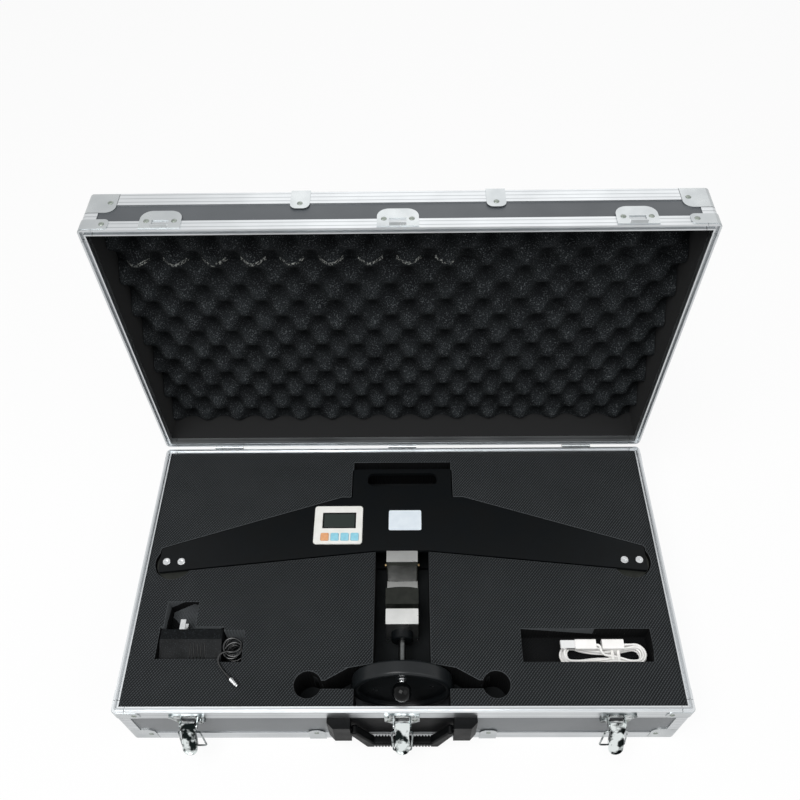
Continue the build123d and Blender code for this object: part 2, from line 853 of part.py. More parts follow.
with BuildPart() as handle_grip:
    with BuildSketch(grip_front) as grip:
        with BuildLine():
            Polyline(
                (0, bar_low_z),
                (handle_bar_half_length + handle_arm_half, bar_low_z),
                (grip_half_width, handle_pivot_z - handle_arm_half),
                (grip_half_width, handle_pivot_z + handle_top_rise),
                (grip_half_width - handle_arm_half, handle_pivot_z + handle_top_rise),
                (handle_bar_half_length - handle_arm_half / 2, bar_high_z),
                (0, bar_high_z),
            )
            mirror(about=Plane.YZ)
        make_face()
        corner_points = [v for v in grip.vertices() if abs(v.X) > 1]
        fillet(corner_points, handle_edge_radius)
    extrude(amount=-handle_depth)
    rim_edges = handle_grip.faces().sort_by(Axis.Y)[0].edges()
    back_edges = handle_grip.faces().sort_by(Axis.Y)[-1].edges()
    fillet(rim_edges + back_edges, handle_round_radius)
    for step in range(grip_groove_count):
        groove_x = (step - (grip_groove_count - 1) / 2) * grip_groove_pitch
        with BuildSketch(Plane.YZ.offset(groove_x - grip_groove_width / 2)):
            with Locations((handle_pivot_y, bar_middle_z)):
                Rectangle(2 * handle_depth, handle_bar_height + grip_groove_depth)
                RectangleRounded(handle_depth - 2 * grip_groove_depth,
                                 handle_bar_height - 2 * grip_groove_depth, handle_edge_radius,
                                 mode=Mode.SUBTRACT)
        extrude(amount=grip_groove_width, mode=Mode.SUBTRACT)
    for side in (-1, 1):
        pin_start = Plane.YZ.offset(side * (grip_half_width - handle_edge_radius))
        with BuildSketch(pin_start):
            with Locations((handle_pivot_y, handle_pivot_z)):
                Circle(handle_pin_radius)
        extrude(amount=side * (handle_pin_length + handle_edge_radius))
save(handle_grip.part, "handle_grip")

# Tester outline, used by both plates and by the foam nest


def plate_outline():
    with BuildSketch() as outline:
        with BuildLine():
            Polyline((0, arm_mid_low), (arm_mid_half, arm_mid_low), (arm_reach, arm_end_low),
                     (arm_reach, arm_end_high), (shoulder_outer, shoulder_high),
                     (neck_half_width, shoulder_high), (neck_half_width, neck_top), (0, neck_top))
            mirror(about=Plane.YZ)
        make_face()
        corners = [v for v in outline.vertices() if abs(v.X) > 1]
        fillet(corners, plate_corner_radius)
    return outline.sketch


plate_gap_low = tester_back + plate_thickness
plate_gap_high = tester_top - plate_thickness
plate_gap = plate_gap_high - plate_gap_low
sheave_screws = [
    (side * sheave_x + half * sheave_screw_pitch / 2, sheave_y)
    for side in (-1, 1)
    for half in (-1, 1)
]

for name, level in [("front", plate_gap_high), ("rear", tester_back)]:
    with BuildPart() as tester_plate:
        with BuildSketch(Plane.XY.offset(level)):
            add(plate_outline())
            with Locations((0, grip_slot_y)):
                RectangleRounded(grip_slot_length, grip_slot_height, grip_slot_radius,
                                 mode=Mode.SUBTRACT)
            with Locations(sheave_screws):
                Circle(screw_shank_radius, mode=Mode.SUBTRACT)
            if name == "front":
                with Locations((display_x, display_y)):
                    Rectangle(display_body_width + 2 * display_body_gap,
                              display_body_height + 2 * display_body_gap, mode=Mode.SUBTRACT)
        extrude(amount=plate_thickness)
    save(tester_plate.part, f"tester_{name}_plate")

with BuildPart() as plate_spacers:
    with BuildSketch(Plane.XY.offset(plate_gap_low)):
        with Locations(spacer_places):
            RegularPolygon(spacer_radius, 6)
    extrude(amount=plate_gap)
save(plate_spacers.part, "plate_spacers")

# End sheaves: grooved discs between the plate ends, each held by two screws

with BuildPart() as sheave:
    with BuildSketch(Plane.XZ):
        with Locations((sheave_radius / 2, spindle_z)):
            Rectangle(sheave_radius, plate_gap)
        with Locations((sheave_radius - sheave_groove_depth + sheave_groove_radius, spindle_z)):
            Circle(sheave_groove_radius, mode=Mode.SUBTRACT)
    revolve(axis=Axis.Z)
    with BuildSketch(Plane.XY.offset(plate_gap_low)):
        with GridLocations(sheave_screw_pitch, 1, 2, 1):
            Circle(screw_shank_radius)
    extrude(amount=plate_gap, mode=Mode.SUBTRACT)
with BuildPart() as end_sheaves:
    for side in (-1, 1):
        add(sheave.part.moved(Location((side * sheave_x, sheave_y, 0))))
save(end_sheaves.part, "end_sheaves")

with BuildPart() as plate_screws:
    with BuildSketch(Plane.XY.offset(tester_top)):
        with Locations(sheave_screws):
            Circle(screw_head_radius)
    extrude(amount=screw_head_height)
    head_faces = plate_screws.faces().group_by(Axis.Z)[-1]
    chamfer(head_faces.edges(), screw_head_chamfer)
    with BuildSketch(Plane.XY.offset(tester_top + screw_head_height)):
        with Locations(sheave_screws):
            RegularPolygon(screw_socket_radius, 6)
    extrude(amount=-screw_socket_depth, mode=Mode.SUBTRACT)
    with BuildSketch(Plane.XY.offset(tester_back)):
        with Locations(sheave_screws):
            Circle(screw_shank_radius)
    extrude(amount=tester_thickness)
save(plate_screws.part, "plate_screws")

# Force frame: one milled C with the head above, the screw block below and a bar behind

head_high = arm_mid_low - frame_plate_gap
side_view = Plane.YZ.offset(-frame_width / 2)
bar_top_z = tester_back + back_bar_thickness
block_bore_radius = sleeve_radius + running_gap

with BuildPart() as c_frame:
    with BuildSketch(side_view):
        with BuildLine():
            Polyline(
                (screw_block_low, tester_back),
                (head_high, tester_back),
                (head_high, tester_top),
                (head_low, tester_top),
                (head_low, bar_top_z),
                (screw_block_high, bar_top_z),
                (screw_block_high, tester_top),
                (screw_block_low, tester_top),
                close=True,
            )
        make_face()
    extrude(amount=frame_width)
    long_edges = c_frame.edges().filter_by(Axis.Z)
    chamfer(long_edges, anvil_edge_radius / 2)
    with BuildSketch(Plane.XZ.offset(-head_high)):
        with Locations((0, spindle_z)):
            Rectangle(stem_width, plate_gap - 2 * stem_inset)
    extrude(amount=-(stem_high - head_high))
    with BuildSketch(spindle_plane(screw_block_high)):
        Circle(block_bore_radius)
    extrude(amount=screw_block_high - screw_block_low, mode=Mode.SUBTRACT)
    with Locations(Location((0, cross_pin_y, spindle_z), (0, 90, 0))):
        Cylinder(cross_pin_radius, frame_width + 2 * cross_pin_reach)
save(c_frame.part, "c_frame")

with BuildPart() as fixed_jaw:
    with BuildSketch(Plane.XY.offset(bar_top_z)):
        with Locations((0, head_low - anvil_thickness / 2)):
            Rectangle(frame_width, anvil_thickness)
    extrude(amount=tester_top - bar_top_z)
    chamfer(fixed_jaw.faces().sort_by(Axis.Y)[0].edges().filter_by(Axis.Z), anvil_edge_radius)
save(fixed_jaw.part, "fixed_jaw")

with BuildPart() as load_cell:
    cell_length = load_cell_end - stem_high
    with BuildSketch(Plane.XY.offset(plate_gap_low + load_cell_inset)):
        with Locations((0, stem_high + cell_length / 2)):
            Rectangle(frame_width, cell_length)
    extrude(amount=plate_gap - 2 * load_cell_inset)
    with BuildSketch(Plane.XY.offset(plate_gap_low)):
        with Locations((0, load_cell_end - load_cell_foot / 2)):
            Rectangle(frame_width, load_cell_foot)
    extrude(amount=plate_gap)
    with BuildSketch(Plane.YZ.offset(-frame_width / 2)):
        with Locations(((stem_high + load_cell_end - load_cell_foot) / 2, spindle_z)):
            with GridLocations(load_cell_hole_pitch, 1, 2, 1):
                Circle(load_cell_hole_radius)
            Rectangle(load_cell_hole_pitch, load_cell_hole_radius / 2)
    extrude(amount=frame_width, mode=Mode.SUBTRACT)
save(load_cell.part, "load_cell")

# Moving jaw: crowned head, carrier and the threaded sleeve that slides in the screw block

with BuildPart() as moving_jaw:
    with BuildSketch(Plane.XY.offset(bar_top_z + jaw_guide_gap)):
        with BuildLine():
            side_line = Polyline(
                (-jaw_width / 2, jaw_crown_y - jaw_crown_rise),
                (-jaw_width / 2, jaw_low),
                (jaw_width / 2, jaw_low),
                (jaw_width / 2, jaw_crown_y - jaw_crown_rise),
            )
            ThreePointArc(side_line @ 1, (0, jaw_crown_y), side_line @ 0)
        make_face()
    extrude(amount=tester_top - jaw_top_drop - bar_top_z - jaw_guide_gap)
    with BuildSketch(Plane.XZ.offset(-jaw_split_y)):
        with Locations((0, spindle_z)):
            Rectangle(2 * jaw_width, 2 * jaw_width)
            Rectangle(jaw_width - 2 * jaw_split_groove, 2 * jaw_width, mode=Mode.SUBTRACT)
    extrude(amount=jaw_split_groove, mode=Mode.SUBTRACT)
    with BuildSketch(spindle_plane(jaw_low)):
        Circle(sleeve_radius)
    extrude(amount=jaw_low - sleeve_end_y)
    with BuildSketch(spindle_plane(sleeve_end_y)):
        Circle(screw_radius + running_gap)
    extrude(amount=-(screw_tip_y - sleeve_end_y + screw_tip_room), mode=Mode.SUBTRACT)
save(moving_jaw.part, "moving_jaw")

# Thrust cap under the screw block; the screw turns in it and cannot rise

cap_end_y = screw_block_low - thrust_cap_length
cavity_end_y = cap_end_y + thrust_wall
flange_low_y = cavity_end_y + thrust_gap

with BuildPart() as thrust_cap:
    with BuildSketch(spindle_plane(screw_block_low)):
        Circle(thrust_cap_radius)
    extrude(amount=thrust_cap_length)
    chamfer(thrust_cap.faces().sort_by(Axis.Y)[0].edges(), thrust_cap_chamfer)
    with BuildSketch(spindle_plane(screw_block_low)):
        Circle(thrust_flange_radius + 3 * running_gap)
    extrude(amount=thrust_cap_length - thrust_wall, mode=Mode.SUBTRACT)
    with BuildSketch(spindle_plane(cavity_end_y)):
        Circle(shaft_radius + running_gap)
    extrude(amount=thrust_wall, mode=Mode.SUBTRACT)
save(thrust_cap.part, "thrust_cap")

wheel_back_y = wheel_face_y + wheel_width
web_face_y = wheel_face_y + wheel_web_setback
hub_end_y = wheel_back_y + wheel_hub_reach

with BuildPart() as screw_spindle:
    with BuildSketch(spindle_plane(screw_tip_y)):
        Circle(screw_radius)
    extrude(amount=screw_tip_y - flange_low_y - thrust_flange_length)
    chamfer(screw_spindle.faces().sort_by(Axis.Y)[-1].edges(), screw_tip_chamfer)
    with BuildSketch(spindle_plane(flange_low_y + thrust_flange_length)):
        Circle(thrust_flange_radius)
    extrude(amount=thrust_flange_length)
    with BuildSketch(spindle_plane(flange_low_y)):
        Circle(shaft_radius)
    extrude(amount=flange_low_y - web_face_y)
save(screw_spindle.part, "screw_spindle")

# Handwheel: rounded rim, set-back web and hub

with BuildPart() as handwheel:
    with BuildSketch(spindle_plane(wheel_face_y + wheel_width)):
        Circle(wheel_radius)
        Circle(wheel_radius - wheel_rim_radial, mode=Mode.SUBTRACT)
    extrude(amount=wheel_width)
    fillet(handwheel.edges().filter_by(GeomType.CIRCLE), wheel_rim_edge_radius)
    with BuildSketch(spindle_plane(web_face_y + wheel_web)):
        Circle(wheel_radius - wheel_rim_radial / 2)
    extrude(amount=wheel_web)
    with BuildSketch(spindle_plane(hub_end_y)):
        Circle(wheel_hub_radius)
    extrude(amount=hub_end_y - web_face_y)
    hub_face = handwheel.faces().sort_by(Axis.Y)[-1]
    fillet(hub_face.edges(), wheel_rim_edge_radius / 2)
    with BuildSketch(spindle_plane(hub_end_y)):
        Circle(shaft_radius)
    extrude(amount=hub_end_y - web_face_y, mode=Mode.SUBTRACT)
    with BuildSketch(spindle_plane(web_face_y)):
        with Locations((0, knob_circle_radius)):
            Circle(stud_seat_radius)
    extrude(amount=web_face_y - wheel_face_y)
save(handwheel.part, "handwheel")

knob_back_y = wheel_face_y - stud_nut_height - knob_back_gap
knob_bore_radius = stud_radius + stud_running_gap
knob_center_y = knob_back_y - (knob_radius ** 2 - knob_bore_radius ** 2) ** 0.5

with BuildPart() as knob_stud:
    with BuildSketch(spindle_plane(wheel_face_y)):
        with Locations((0, knob_circle_radius)):
            RegularPolygon(stud_nut_radius, 6)
    extrude(amount=stud_nut_height)
    with BuildSketch(spindle_plane(wheel_face_y)):
        with Locations((0, knob_circle_radius)):
            Circle(stud_radius)
    extrude(amount=wheel_face_y - knob_center_y + stud_radius)
save(knob_stud.part, "knob_stud")

with BuildPart() as crank_knob:
    with Locations((0, knob_center_y, spindle_z + knob_circle_radius)):
        Sphere(knob_radius)
    with BuildSketch(spindle_plane(knob_back_y + knob_radius)):
        with Locations((0, knob_circle_radius)):
            Circle(knob_bore_radius)
    extrude(amount=knob_back_y + knob_radius - knob_center_y + stud_radius + thrust_gap,
            mode=Mode.SUBTRACT)
save(crank_knob.part, "crank_knob")

# Display: bezel with its box behind the plate, stepped window, board and four buttons

bezel_top = tester_top + display_flange
button_places = [
    (button_row_x + (step - (len(button_names) - 1) / 2) * button_pitch, button_row_y)
    for step in range(len(button_names))
]

with BuildPart() as display_bezel:
    with BuildSketch(Plane.XY.offset(tester_top - display_body_depth)):
        with Locations((display_x, display_y)):
            Rectangle(display_body_width, display_body_height)
            Rectangle(display_body_width - 2 * display_wall, display_body_height - 2 * display_wall,
                      mode=Mode.SUBTRACT)
    extrude(amount=display_body_depth)
    with BuildSketch(Plane.XY.offset(tester_top)):
        with Locations((display_x, display_y)):
            RectangleRounded(display_width, display_height, display_corner_radius)
        with Locations((screen_x, screen_y)):
            Rectangle(screen_width, screen_height, mode=Mode.SUBTRACT)
        with Locations(button_places):
            RectangleRounded(button_width + 2 * button_side_gap,
                             button_height + 2 * button_side_gap, button_corner_radius,
                             mode=Mode.SUBTRACT)
    extrude(amount=display_flange)
    outer_edges = display_bezel.faces().sort_by(Axis.Z)[-1].outer_wire().edges()
    fillet(outer_edges, display_flange / 3)
save(display_bezel.part, "display_bezel")

with BuildPart() as display_screen:
    with BuildSketch(Plane.XY.offset(tester_top - screen_thickness)):
        with Locations((screen_x, screen_y)):
            Rectangle(screen_width + 2 * screen_flange, screen_height + 2 * screen_flange)
    extrude(amount=screen_thickness)
    with BuildSketch(Plane.XY.offset(tester_top)):
        with Locations((screen_x, screen_y)):
            Rectangle(screen_width - 2 * screen_gap, screen_height - 2 * screen_gap)
    extrude(amount=display_flange - screen_recess)
save(display_screen.part, "display_screen")

board_top = tester_top - board_setback
with BuildPart() as circuit_board:
    with BuildSketch(Plane.XY.offset(board_top - board_thickness)):
        with Locations((display_x, display_y)):
            Rectangle(display_body_width - 2 * (display_wall + board_gap),
                      display_body_height - 2 * (display_wall + board_gap))
    extrude(amount=board_thickness)
save(circuit_board.part, "circuit_board")

button_flange_top = tester_top - button_flange_gap
button_stem_low = board_top + button_travel + button_flange_gap

for name, place in zip(button_names, button_places):
    with BuildPart() as button:
        with BuildSketch(Plane.XY.offset(button_flange_top)):
            with Locations(place):
                RectangleRounded(button_width, button_height, button_corner_radius)
        extrude(amount=bezel_top + button_proud - button_flange_top)
        fillet(button.faces().sort_by(Axis.Z)[-1].edges(), button_proud / 2)
        with BuildSketch(Plane.XY.offset(button_flange_top)):
            with Locations(place):
                Rectangle(button_width + 2 * button_flange, button_height + 2 * button_flange)
        extrude(amount=-button_flange_thickness)
        with BuildSketch(Plane.XY.offset(button_stem_low)):
            with Locations(place):
                Circle(button_stem_radius)
        extrude(amount=button_flange_top - button_flange_thickness - button_stem_low)
    save(button.part, f"button_{name}")

with BuildPart() as battery:
    axis_z = plate_gap_low + battery_radius + running_gap
    with BuildSketch(Plane.YZ.offset(battery_x - battery_length / 2)):
        with Locations((battery_y, axis_z)):
            Circle(battery_radius)
    extrude(amount=battery_length)
    with BuildSketch(Plane.YZ.offset(battery_x + battery_length / 2)):
        with Locations((battery_y, axis_z)):
            Circle(battery_pole_radius)
    extrude(amount=battery_pole_length)
save(battery.part, "battery")

# Foam: a solid bottom layer with the wheel's pocket and a fitted top layer

pocket_back_y = hub_end_y + wheel_pocket_gap
knob_pocket_back_y = wheel_face_y - stud_nut_height
channel_low = finger_hole_y - finger_channel_width / 2
channel_high = finger_hole_y + finger_channel_width / 2
foam_front_y = -foam_depth / 2
prong_pocket_left = adapter_left + prong_pocket_inset

with BuildPart() as foam_bottom:
    with BuildSketch(Plane.XY.offset(floor_panel)):
        Rectangle(foam_width, foam_depth)
        with Locations((0, (channel_low + pocket_back_y) / 2)):
            Rectangle(2 * wheel_pocket_half_width, pocket_back_y - channel_low,
                      mode=Mode.SUBTRACT)
        with Locations((0, (foam_front_y + knob_pocket_back_y) / 2)):
            Rectangle(2 * knob_pocket_half_width, knob_pocket_back_y - foam_front_y,
                      mode=Mode.SUBTRACT)
    extrude(amount=foam_split_z - floor_panel)
save(foam_bottom.part, "foam_bottom")


def foam_pocket(left, right, front, back):
    with BuildSketch() as pocket:
        with Locations(((left + right) / 2, (front + back) / 2)):
            Rectangle(right - left, back - front)
    return pocket.sketch


with BuildPart() as foam_top:
    with BuildSketch(Plane.XY.offset(foam_split_z)):
        Rectangle(foam_width, foam_depth)
        offset(plate_outline(), amount=nest_gap, kind=Kind.INTERSECTION, mode=Mode.SUBTRACT)
        with Locations((0, (shoulder_high + neck_top + neck_room) / 2)):
            Rectangle(2 * neck_half_width, neck_top + neck_room - shoulder_high,
                      mode=Mode.SUBTRACT)
        with GridLocations(2 * sheave_x, 1, 2, 1):
            with Locations((0, sheave_y)):
                Circle(sheave_radius + nest_gap, mode=Mode.SUBTRACT)
        with BuildLine():
            Polyline(
                (0, foam_front_y),
                (knob_pocket_half_width, foam_front_y),
                (knob_pocket_half_width, channel_low),
                (finger_hole_offset, channel_low),
                (finger_hole_offset, channel_high),
                (finger_hole_offset - 2 * finger_channel_width, channel_high),
                (wheel_pocket_half_width, pocket_back_y - 2 * wheel_pocket_gap),
                (yoke_slot_half_width, pocket_back_y),
                (yoke_slot_half_width, arm_mid_low + nest_gap),
                (0, arm_mid_low + nest_gap),
            )
            mirror(about=Plane.YZ)
        make_face(mode=Mode.SUBTRACT)
        with GridLocations(2 * finger_hole_offset, 1, 2, 1):
            with Locations((0, finger_hole_y)):
                Circle(finger_hole_radius, mode=Mode.SUBTRACT)
        add(foam_pocket(adapter_left - adapter_pocket_gap, adapter_right + adapter_pocket_gap,
                        adapter_front - adapter_pocket_gap, adapter_back + adapter_pocket_gap),
            mode=Mode.SUBTRACT)
    extrude(amount=foam_top_z - foam_split_z)
    for depth, edges in [
        (prong_pocket_depth, (prong_pocket_left, prong_pocket_left + prong_pocket_width,
                              adapter_back, adapter_back + prong_pocket_length)),
        (lead_pocket_depth, (adapter_right, coil_x + coil_outer_radius + lead_pocket_side_gap,
                             coil_y - coil_outer_radius - lead_pocket_front_gap,
                             coil_y + coil_outer_radius + lead_pocket_back_gap)),
        (cable_pocket_depth, (cable_pocket_left, cable_pocket_right, cable_pocket_front,
                              cable_pocket_front + cable_pocket_width)),
    ]:
        with BuildSketch(Plane.XY.offset(foam_top_z)):
            add(foam_pocket(*edges))
        extrude(amount=-depth, mode=Mode.SUBTRACT)
save(foam_top.part, "foam_top")

# Lid foam: a strip along the hinge side and the main sheet

lid_inner_height = case_depth - 2 * rim_width
with BuildPart() as lid_foam_strip:
    with BuildSketch(lid_frame.offset(lid_foam_back - lid_foam_thickness)):
        with Locations((0, lid_inner_height / 2 - lid_foam_strip_height / 2)):
            Rectangle(foam_width, lid_foam_strip_height)
    extrude(amount=lid_foam_thickness)
save(lid_foam_strip.part, "lid_foam_strip")

sheet_height = lid_inner_height - lid_foam_strip_height - foam_joint_gap
with BuildPart() as lid_foam_sheet:
    with BuildSketch(lid_frame.offset(lid_foam_back - lid_foam_thickness)):
        with Locations((0, -lid_inner_height / 2 + sheet_height / 2)):
            Rectangle(foam_width, sheet_height)
    extrude(amount=lid_foam_thickness)
save(lid_foam_sheet.part, "lid_foam_sheet")

# Mains adapter: box with a slanted front facet, cooling slots and a cable gland

adapter_low = foam_split_z + seat_gap
with BuildPart() as adapter_body:
    with BuildSketch(Plane.YZ.offset(adapter_left)):
        with BuildLine():
            Polyline(
                (adapter_back, adapter_low),
                (adapter_back, adapter_high),
                (adapter_shoulder_y, adapter_high),
                (adapter_front, adapter_front_high),
                (adapter_front, adapter_low),
                close=True,
            )
        make_face()
    extrude(amount=adapter_right - adapter_left)
    fillet(adapter_body.edges().filter_by(Axis.X), adapter_edge_radius)
    with BuildSketch(Plane.XZ.offset(-adapter_front)):
        with Locations((adapter_left + adapter_slot_reach, (adapter_low + adapter_front_high) / 2)):
            with GridLocations(adapter_slot_pitch, 1, adapter_slot_count, 1):
                Rectangle(adapter_slot_width, adapter_front_high - adapter_low)
    extrude(amount=-adapter_slot_depth, mode=Mode.SUBTRACT)
    gland_y = coil_y + coil_outer_radius - lead_radius
    gland_reach = gland_y - gland_radius - coil_y
    gland_end = coil_x - (coil_outer_radius ** 2 - gland_reach ** 2) ** 0.5 - gland_gap
    with BuildSketch(Plane.YZ.offset(adapter_right)):
        with Locations((gland_y, adapter_high - gland_drop)):
            Circle(gland_radius)
    extrude(amount=gland_end - adapter_right, taper=gland_taper)
save(adapter_body.part, "adapter_body")

with BuildPart() as adapter_prongs:
    with BuildSketch(Plane.XZ.offset(-adapter_back)):
        with Locations((adapter_left + prong_reach, adapter_high - prong_drop)):
            with GridLocations(1, prong_pitch, 1, 2):
                Rectangle(prong_width, prong_thickness)
    extrude(amount=-prong_length)
    chamfer(adapter_prongs.faces().group_by(Axis.Y)[-1].edges().filter_by(Axis.X),
            prong_thickness / 4)
save(adapter_prongs.part, "adapter_prongs")

coil_low = foam_top_z - lead_pocket_depth + seat_gap
with BuildPart() as adapter_lead_coil:
    with BuildSketch(Plane.XY.offset(coil_low)):
        with Locations((coil_x, coil_y)):
            Circle(coil_outer_radius)
            Circle(coil_inner_radius, mode=Mode.SUBTRACT)
    extrude(amount=coil_height)
save(adapter_lead_coil.part, "adapter_lead_coil")

lead_points = [Vector(coil_x + x, coil_y + y, foam_top_z + z) for x, y, z in lead_route]
lead_radii = []
for before, here, after in zip(lead_points, lead_points[1:], lead_points[2:]):
    turn = (here - before).get_angle(after - here)
    run = min((here - before).length, (after - here).length)
    lead_radii.append(lead_run_share * run / tan(radians(turn / 2)))
print("adapter lead radii:", [round(radius, 1) for radius in lead_radii])

with BuildPart() as adapter_lead:
    with BuildLine():
        lead_wire = FilletPolyline(*lead_points, radius=lead_radii)
    with BuildSketch(Plane(lead_wire @ 0, z_dir=lead_wire % 0)):
        Circle(lead_radius)
    sweep()
save(adapter_lead.part, "adapter_lead")
print("adapter lead tube:", round(lead_wire.length, 1), "mm, volume ratio",
      round(adapter_lead.part.volume / (lead_wire.length * pi * lead_radius ** 2), 4))

# Lead plug lying on the foam: tapered relief, barrel and tip

plug_plane = Plane(lead_wire @ 1, z_dir=lead_wire % 1)
with BuildPart() as lead_plug:
    with BuildSketch(plug_plane):
        Circle(lead_radius)
    with BuildSketch(plug_plane.offset(plug_relief_length)):
        Circle(plug_relief_radius)
    loft()
    with BuildSketch(plug_plane.offset(plug_relief_length)):
        Circle(plug_barrel_radius)
    extrude(amount=plug_barrel_length)
    with BuildSketch(plug_plane.offset(plug_relief_length + plug_barrel_length)):
        Circle(plug_tip_radius)
    extrude(amount=plug_tip_length)
save(lead_plug.part, "lead_plug")

# Data cable: a tied hank with its two plugs lying on top

hank_low = foam_top_z - cable_pocket_depth + seat_gap
with BuildPart() as data_cable_hank:
    with BuildSketch(Plane.XY.offset(hank_low)):
        with Locations((hank_left + hank_length / 2, hank_front + hank_width / 2)):
            SlotOverall(hank_length, hank_width)
    extrude(amount=hank_height)
    fillet(data_cable_hank.edges().group_by(Axis.Z)[-1], hank_edge_radius)
save(data_cable_hank.part, "data_cable_hank")

plug_low = hank_low + hank_height
with BuildPart() as data_cable_plugs:
    for left, length in [(usb_left + usb_shell_length, usb_body_length),
                         (meter_plug_left, meter_plug_length)]:
        with BuildSketch(Plane.YZ.offset(left)):
            with Locations((data_plug_y, plug_low + data_plug_height / 2)):
                RectangleRounded(data_plug_width, data_plug_height, data_plug_edge_radius)
        extrude(amount=length)
    with BuildSketch(Plane.YZ.offset(usb_left)):
        with Locations((data_plug_y, plug_low + data_plug_height / 2)):
            Rectangle(usb_shell_width, usb_shell_height)
            Rectangle(usb_shell_width - sheet, usb_shell_height - sheet, mode=Mode.SUBTRACT)
    extrude(amount=usb_shell_length)
save(data_cable_plugs.part, "data_cable_plugs")

print("jaw travel:", jaw_travel, "mm;", round(screw_lead / 1000 / (2 * pi), 9), "m per radian")
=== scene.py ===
from math import atan2, cos, pi, radians, sin, tan
import bmesh
import bpy
from mathutils import Matrix, Vector


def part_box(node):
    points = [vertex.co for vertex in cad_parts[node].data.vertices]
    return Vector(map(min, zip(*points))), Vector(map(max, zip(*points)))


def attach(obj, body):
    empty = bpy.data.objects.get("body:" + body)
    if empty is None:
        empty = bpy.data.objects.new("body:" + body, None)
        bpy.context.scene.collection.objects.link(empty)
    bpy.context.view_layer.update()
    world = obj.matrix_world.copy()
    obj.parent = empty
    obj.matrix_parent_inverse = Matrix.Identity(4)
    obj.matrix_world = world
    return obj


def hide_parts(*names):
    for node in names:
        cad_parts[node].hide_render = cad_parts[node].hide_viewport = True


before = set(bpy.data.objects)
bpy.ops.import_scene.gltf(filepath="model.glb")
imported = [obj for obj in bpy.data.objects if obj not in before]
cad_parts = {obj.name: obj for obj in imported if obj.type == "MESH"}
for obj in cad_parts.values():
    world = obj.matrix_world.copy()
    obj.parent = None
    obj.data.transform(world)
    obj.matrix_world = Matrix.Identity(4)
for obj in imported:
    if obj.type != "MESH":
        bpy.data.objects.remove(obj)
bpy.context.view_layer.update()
scene = bpy.context.scene
mm = 0.001
print("frame loaded:", len(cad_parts), "nodes")

# Camera: stands in front of the open case and looks down into it

camera = {
    "place": (11.07, -462.63, 958.31),
    "pitch": 54.29,
    "yaw": -1.29,
    "roll": -1.39,
    "lens": 35.76,
    "shiftUp": 0.075,
}


def placeCamera():
    pitch, yaw, roll = (radians(camera[key]) for key in ("pitch", "yaw", "roll"))
    ahead = Vector((sin(yaw) * cos(pitch), cos(yaw) * cos(pitch), -sin(pitch)))
    side = Vector((cos(yaw), -sin(yaw), 0))
    up = side.cross(ahead)
    turnedSide = side * cos(roll) + up * sin(roll)
    turnedUp = up * cos(roll) - side * sin(roll)
    data = bpy.data.cameras.new("camera")
    data.lens = camera["lens"]
    data.shift_y = camera["shiftUp"]
    data.clip_start = 0.01
    data.clip_end = 50
    holder = bpy.data.objects.new("camera", data)
    scene.collection.objects.link(holder)
    turn = Matrix((turnedSide, turnedUp, -ahead)).transposed().to_4x4()
    holder.matrix_world = Matrix.Translation(Vector(camera["place"]) * mm) @ turn
    scene.camera = holder


placeCamera()
scene.view_settings.view_transform = "Standard"


# One node with its properties and its inputs, which are values or other nodes' outputs

def addNode(tree, kind, settings=None, inputs=None):
    node = tree.nodes.new(kind)
    for name, value in (settings or {}).items():
        setattr(node, name, value)
    for socket, value in (inputs or {}).items():
        if isinstance(value, bpy.types.NodeSocket):
            tree.links.new(value, node.inputs[socket])
        else:
            node.inputs[socket].default_value = value
    return node


def linear(hexColour):
    channels = [int(hexColour[i:i + 2], 16) / 255 for i in (1, 3, 5)]
    return tuple(c / 12.92 if c <= 0.04045 else ((c + 0.055) / 1.055) ** 2.4 for c in channels) + (1.0,)


# Every finish varies in colour and roughness over patches of a real size, and carries its
# reliefs in order: noise, cells or even ridges, each with its size and depth in metres, and
# where the high parts show lighter or darker, with their tint

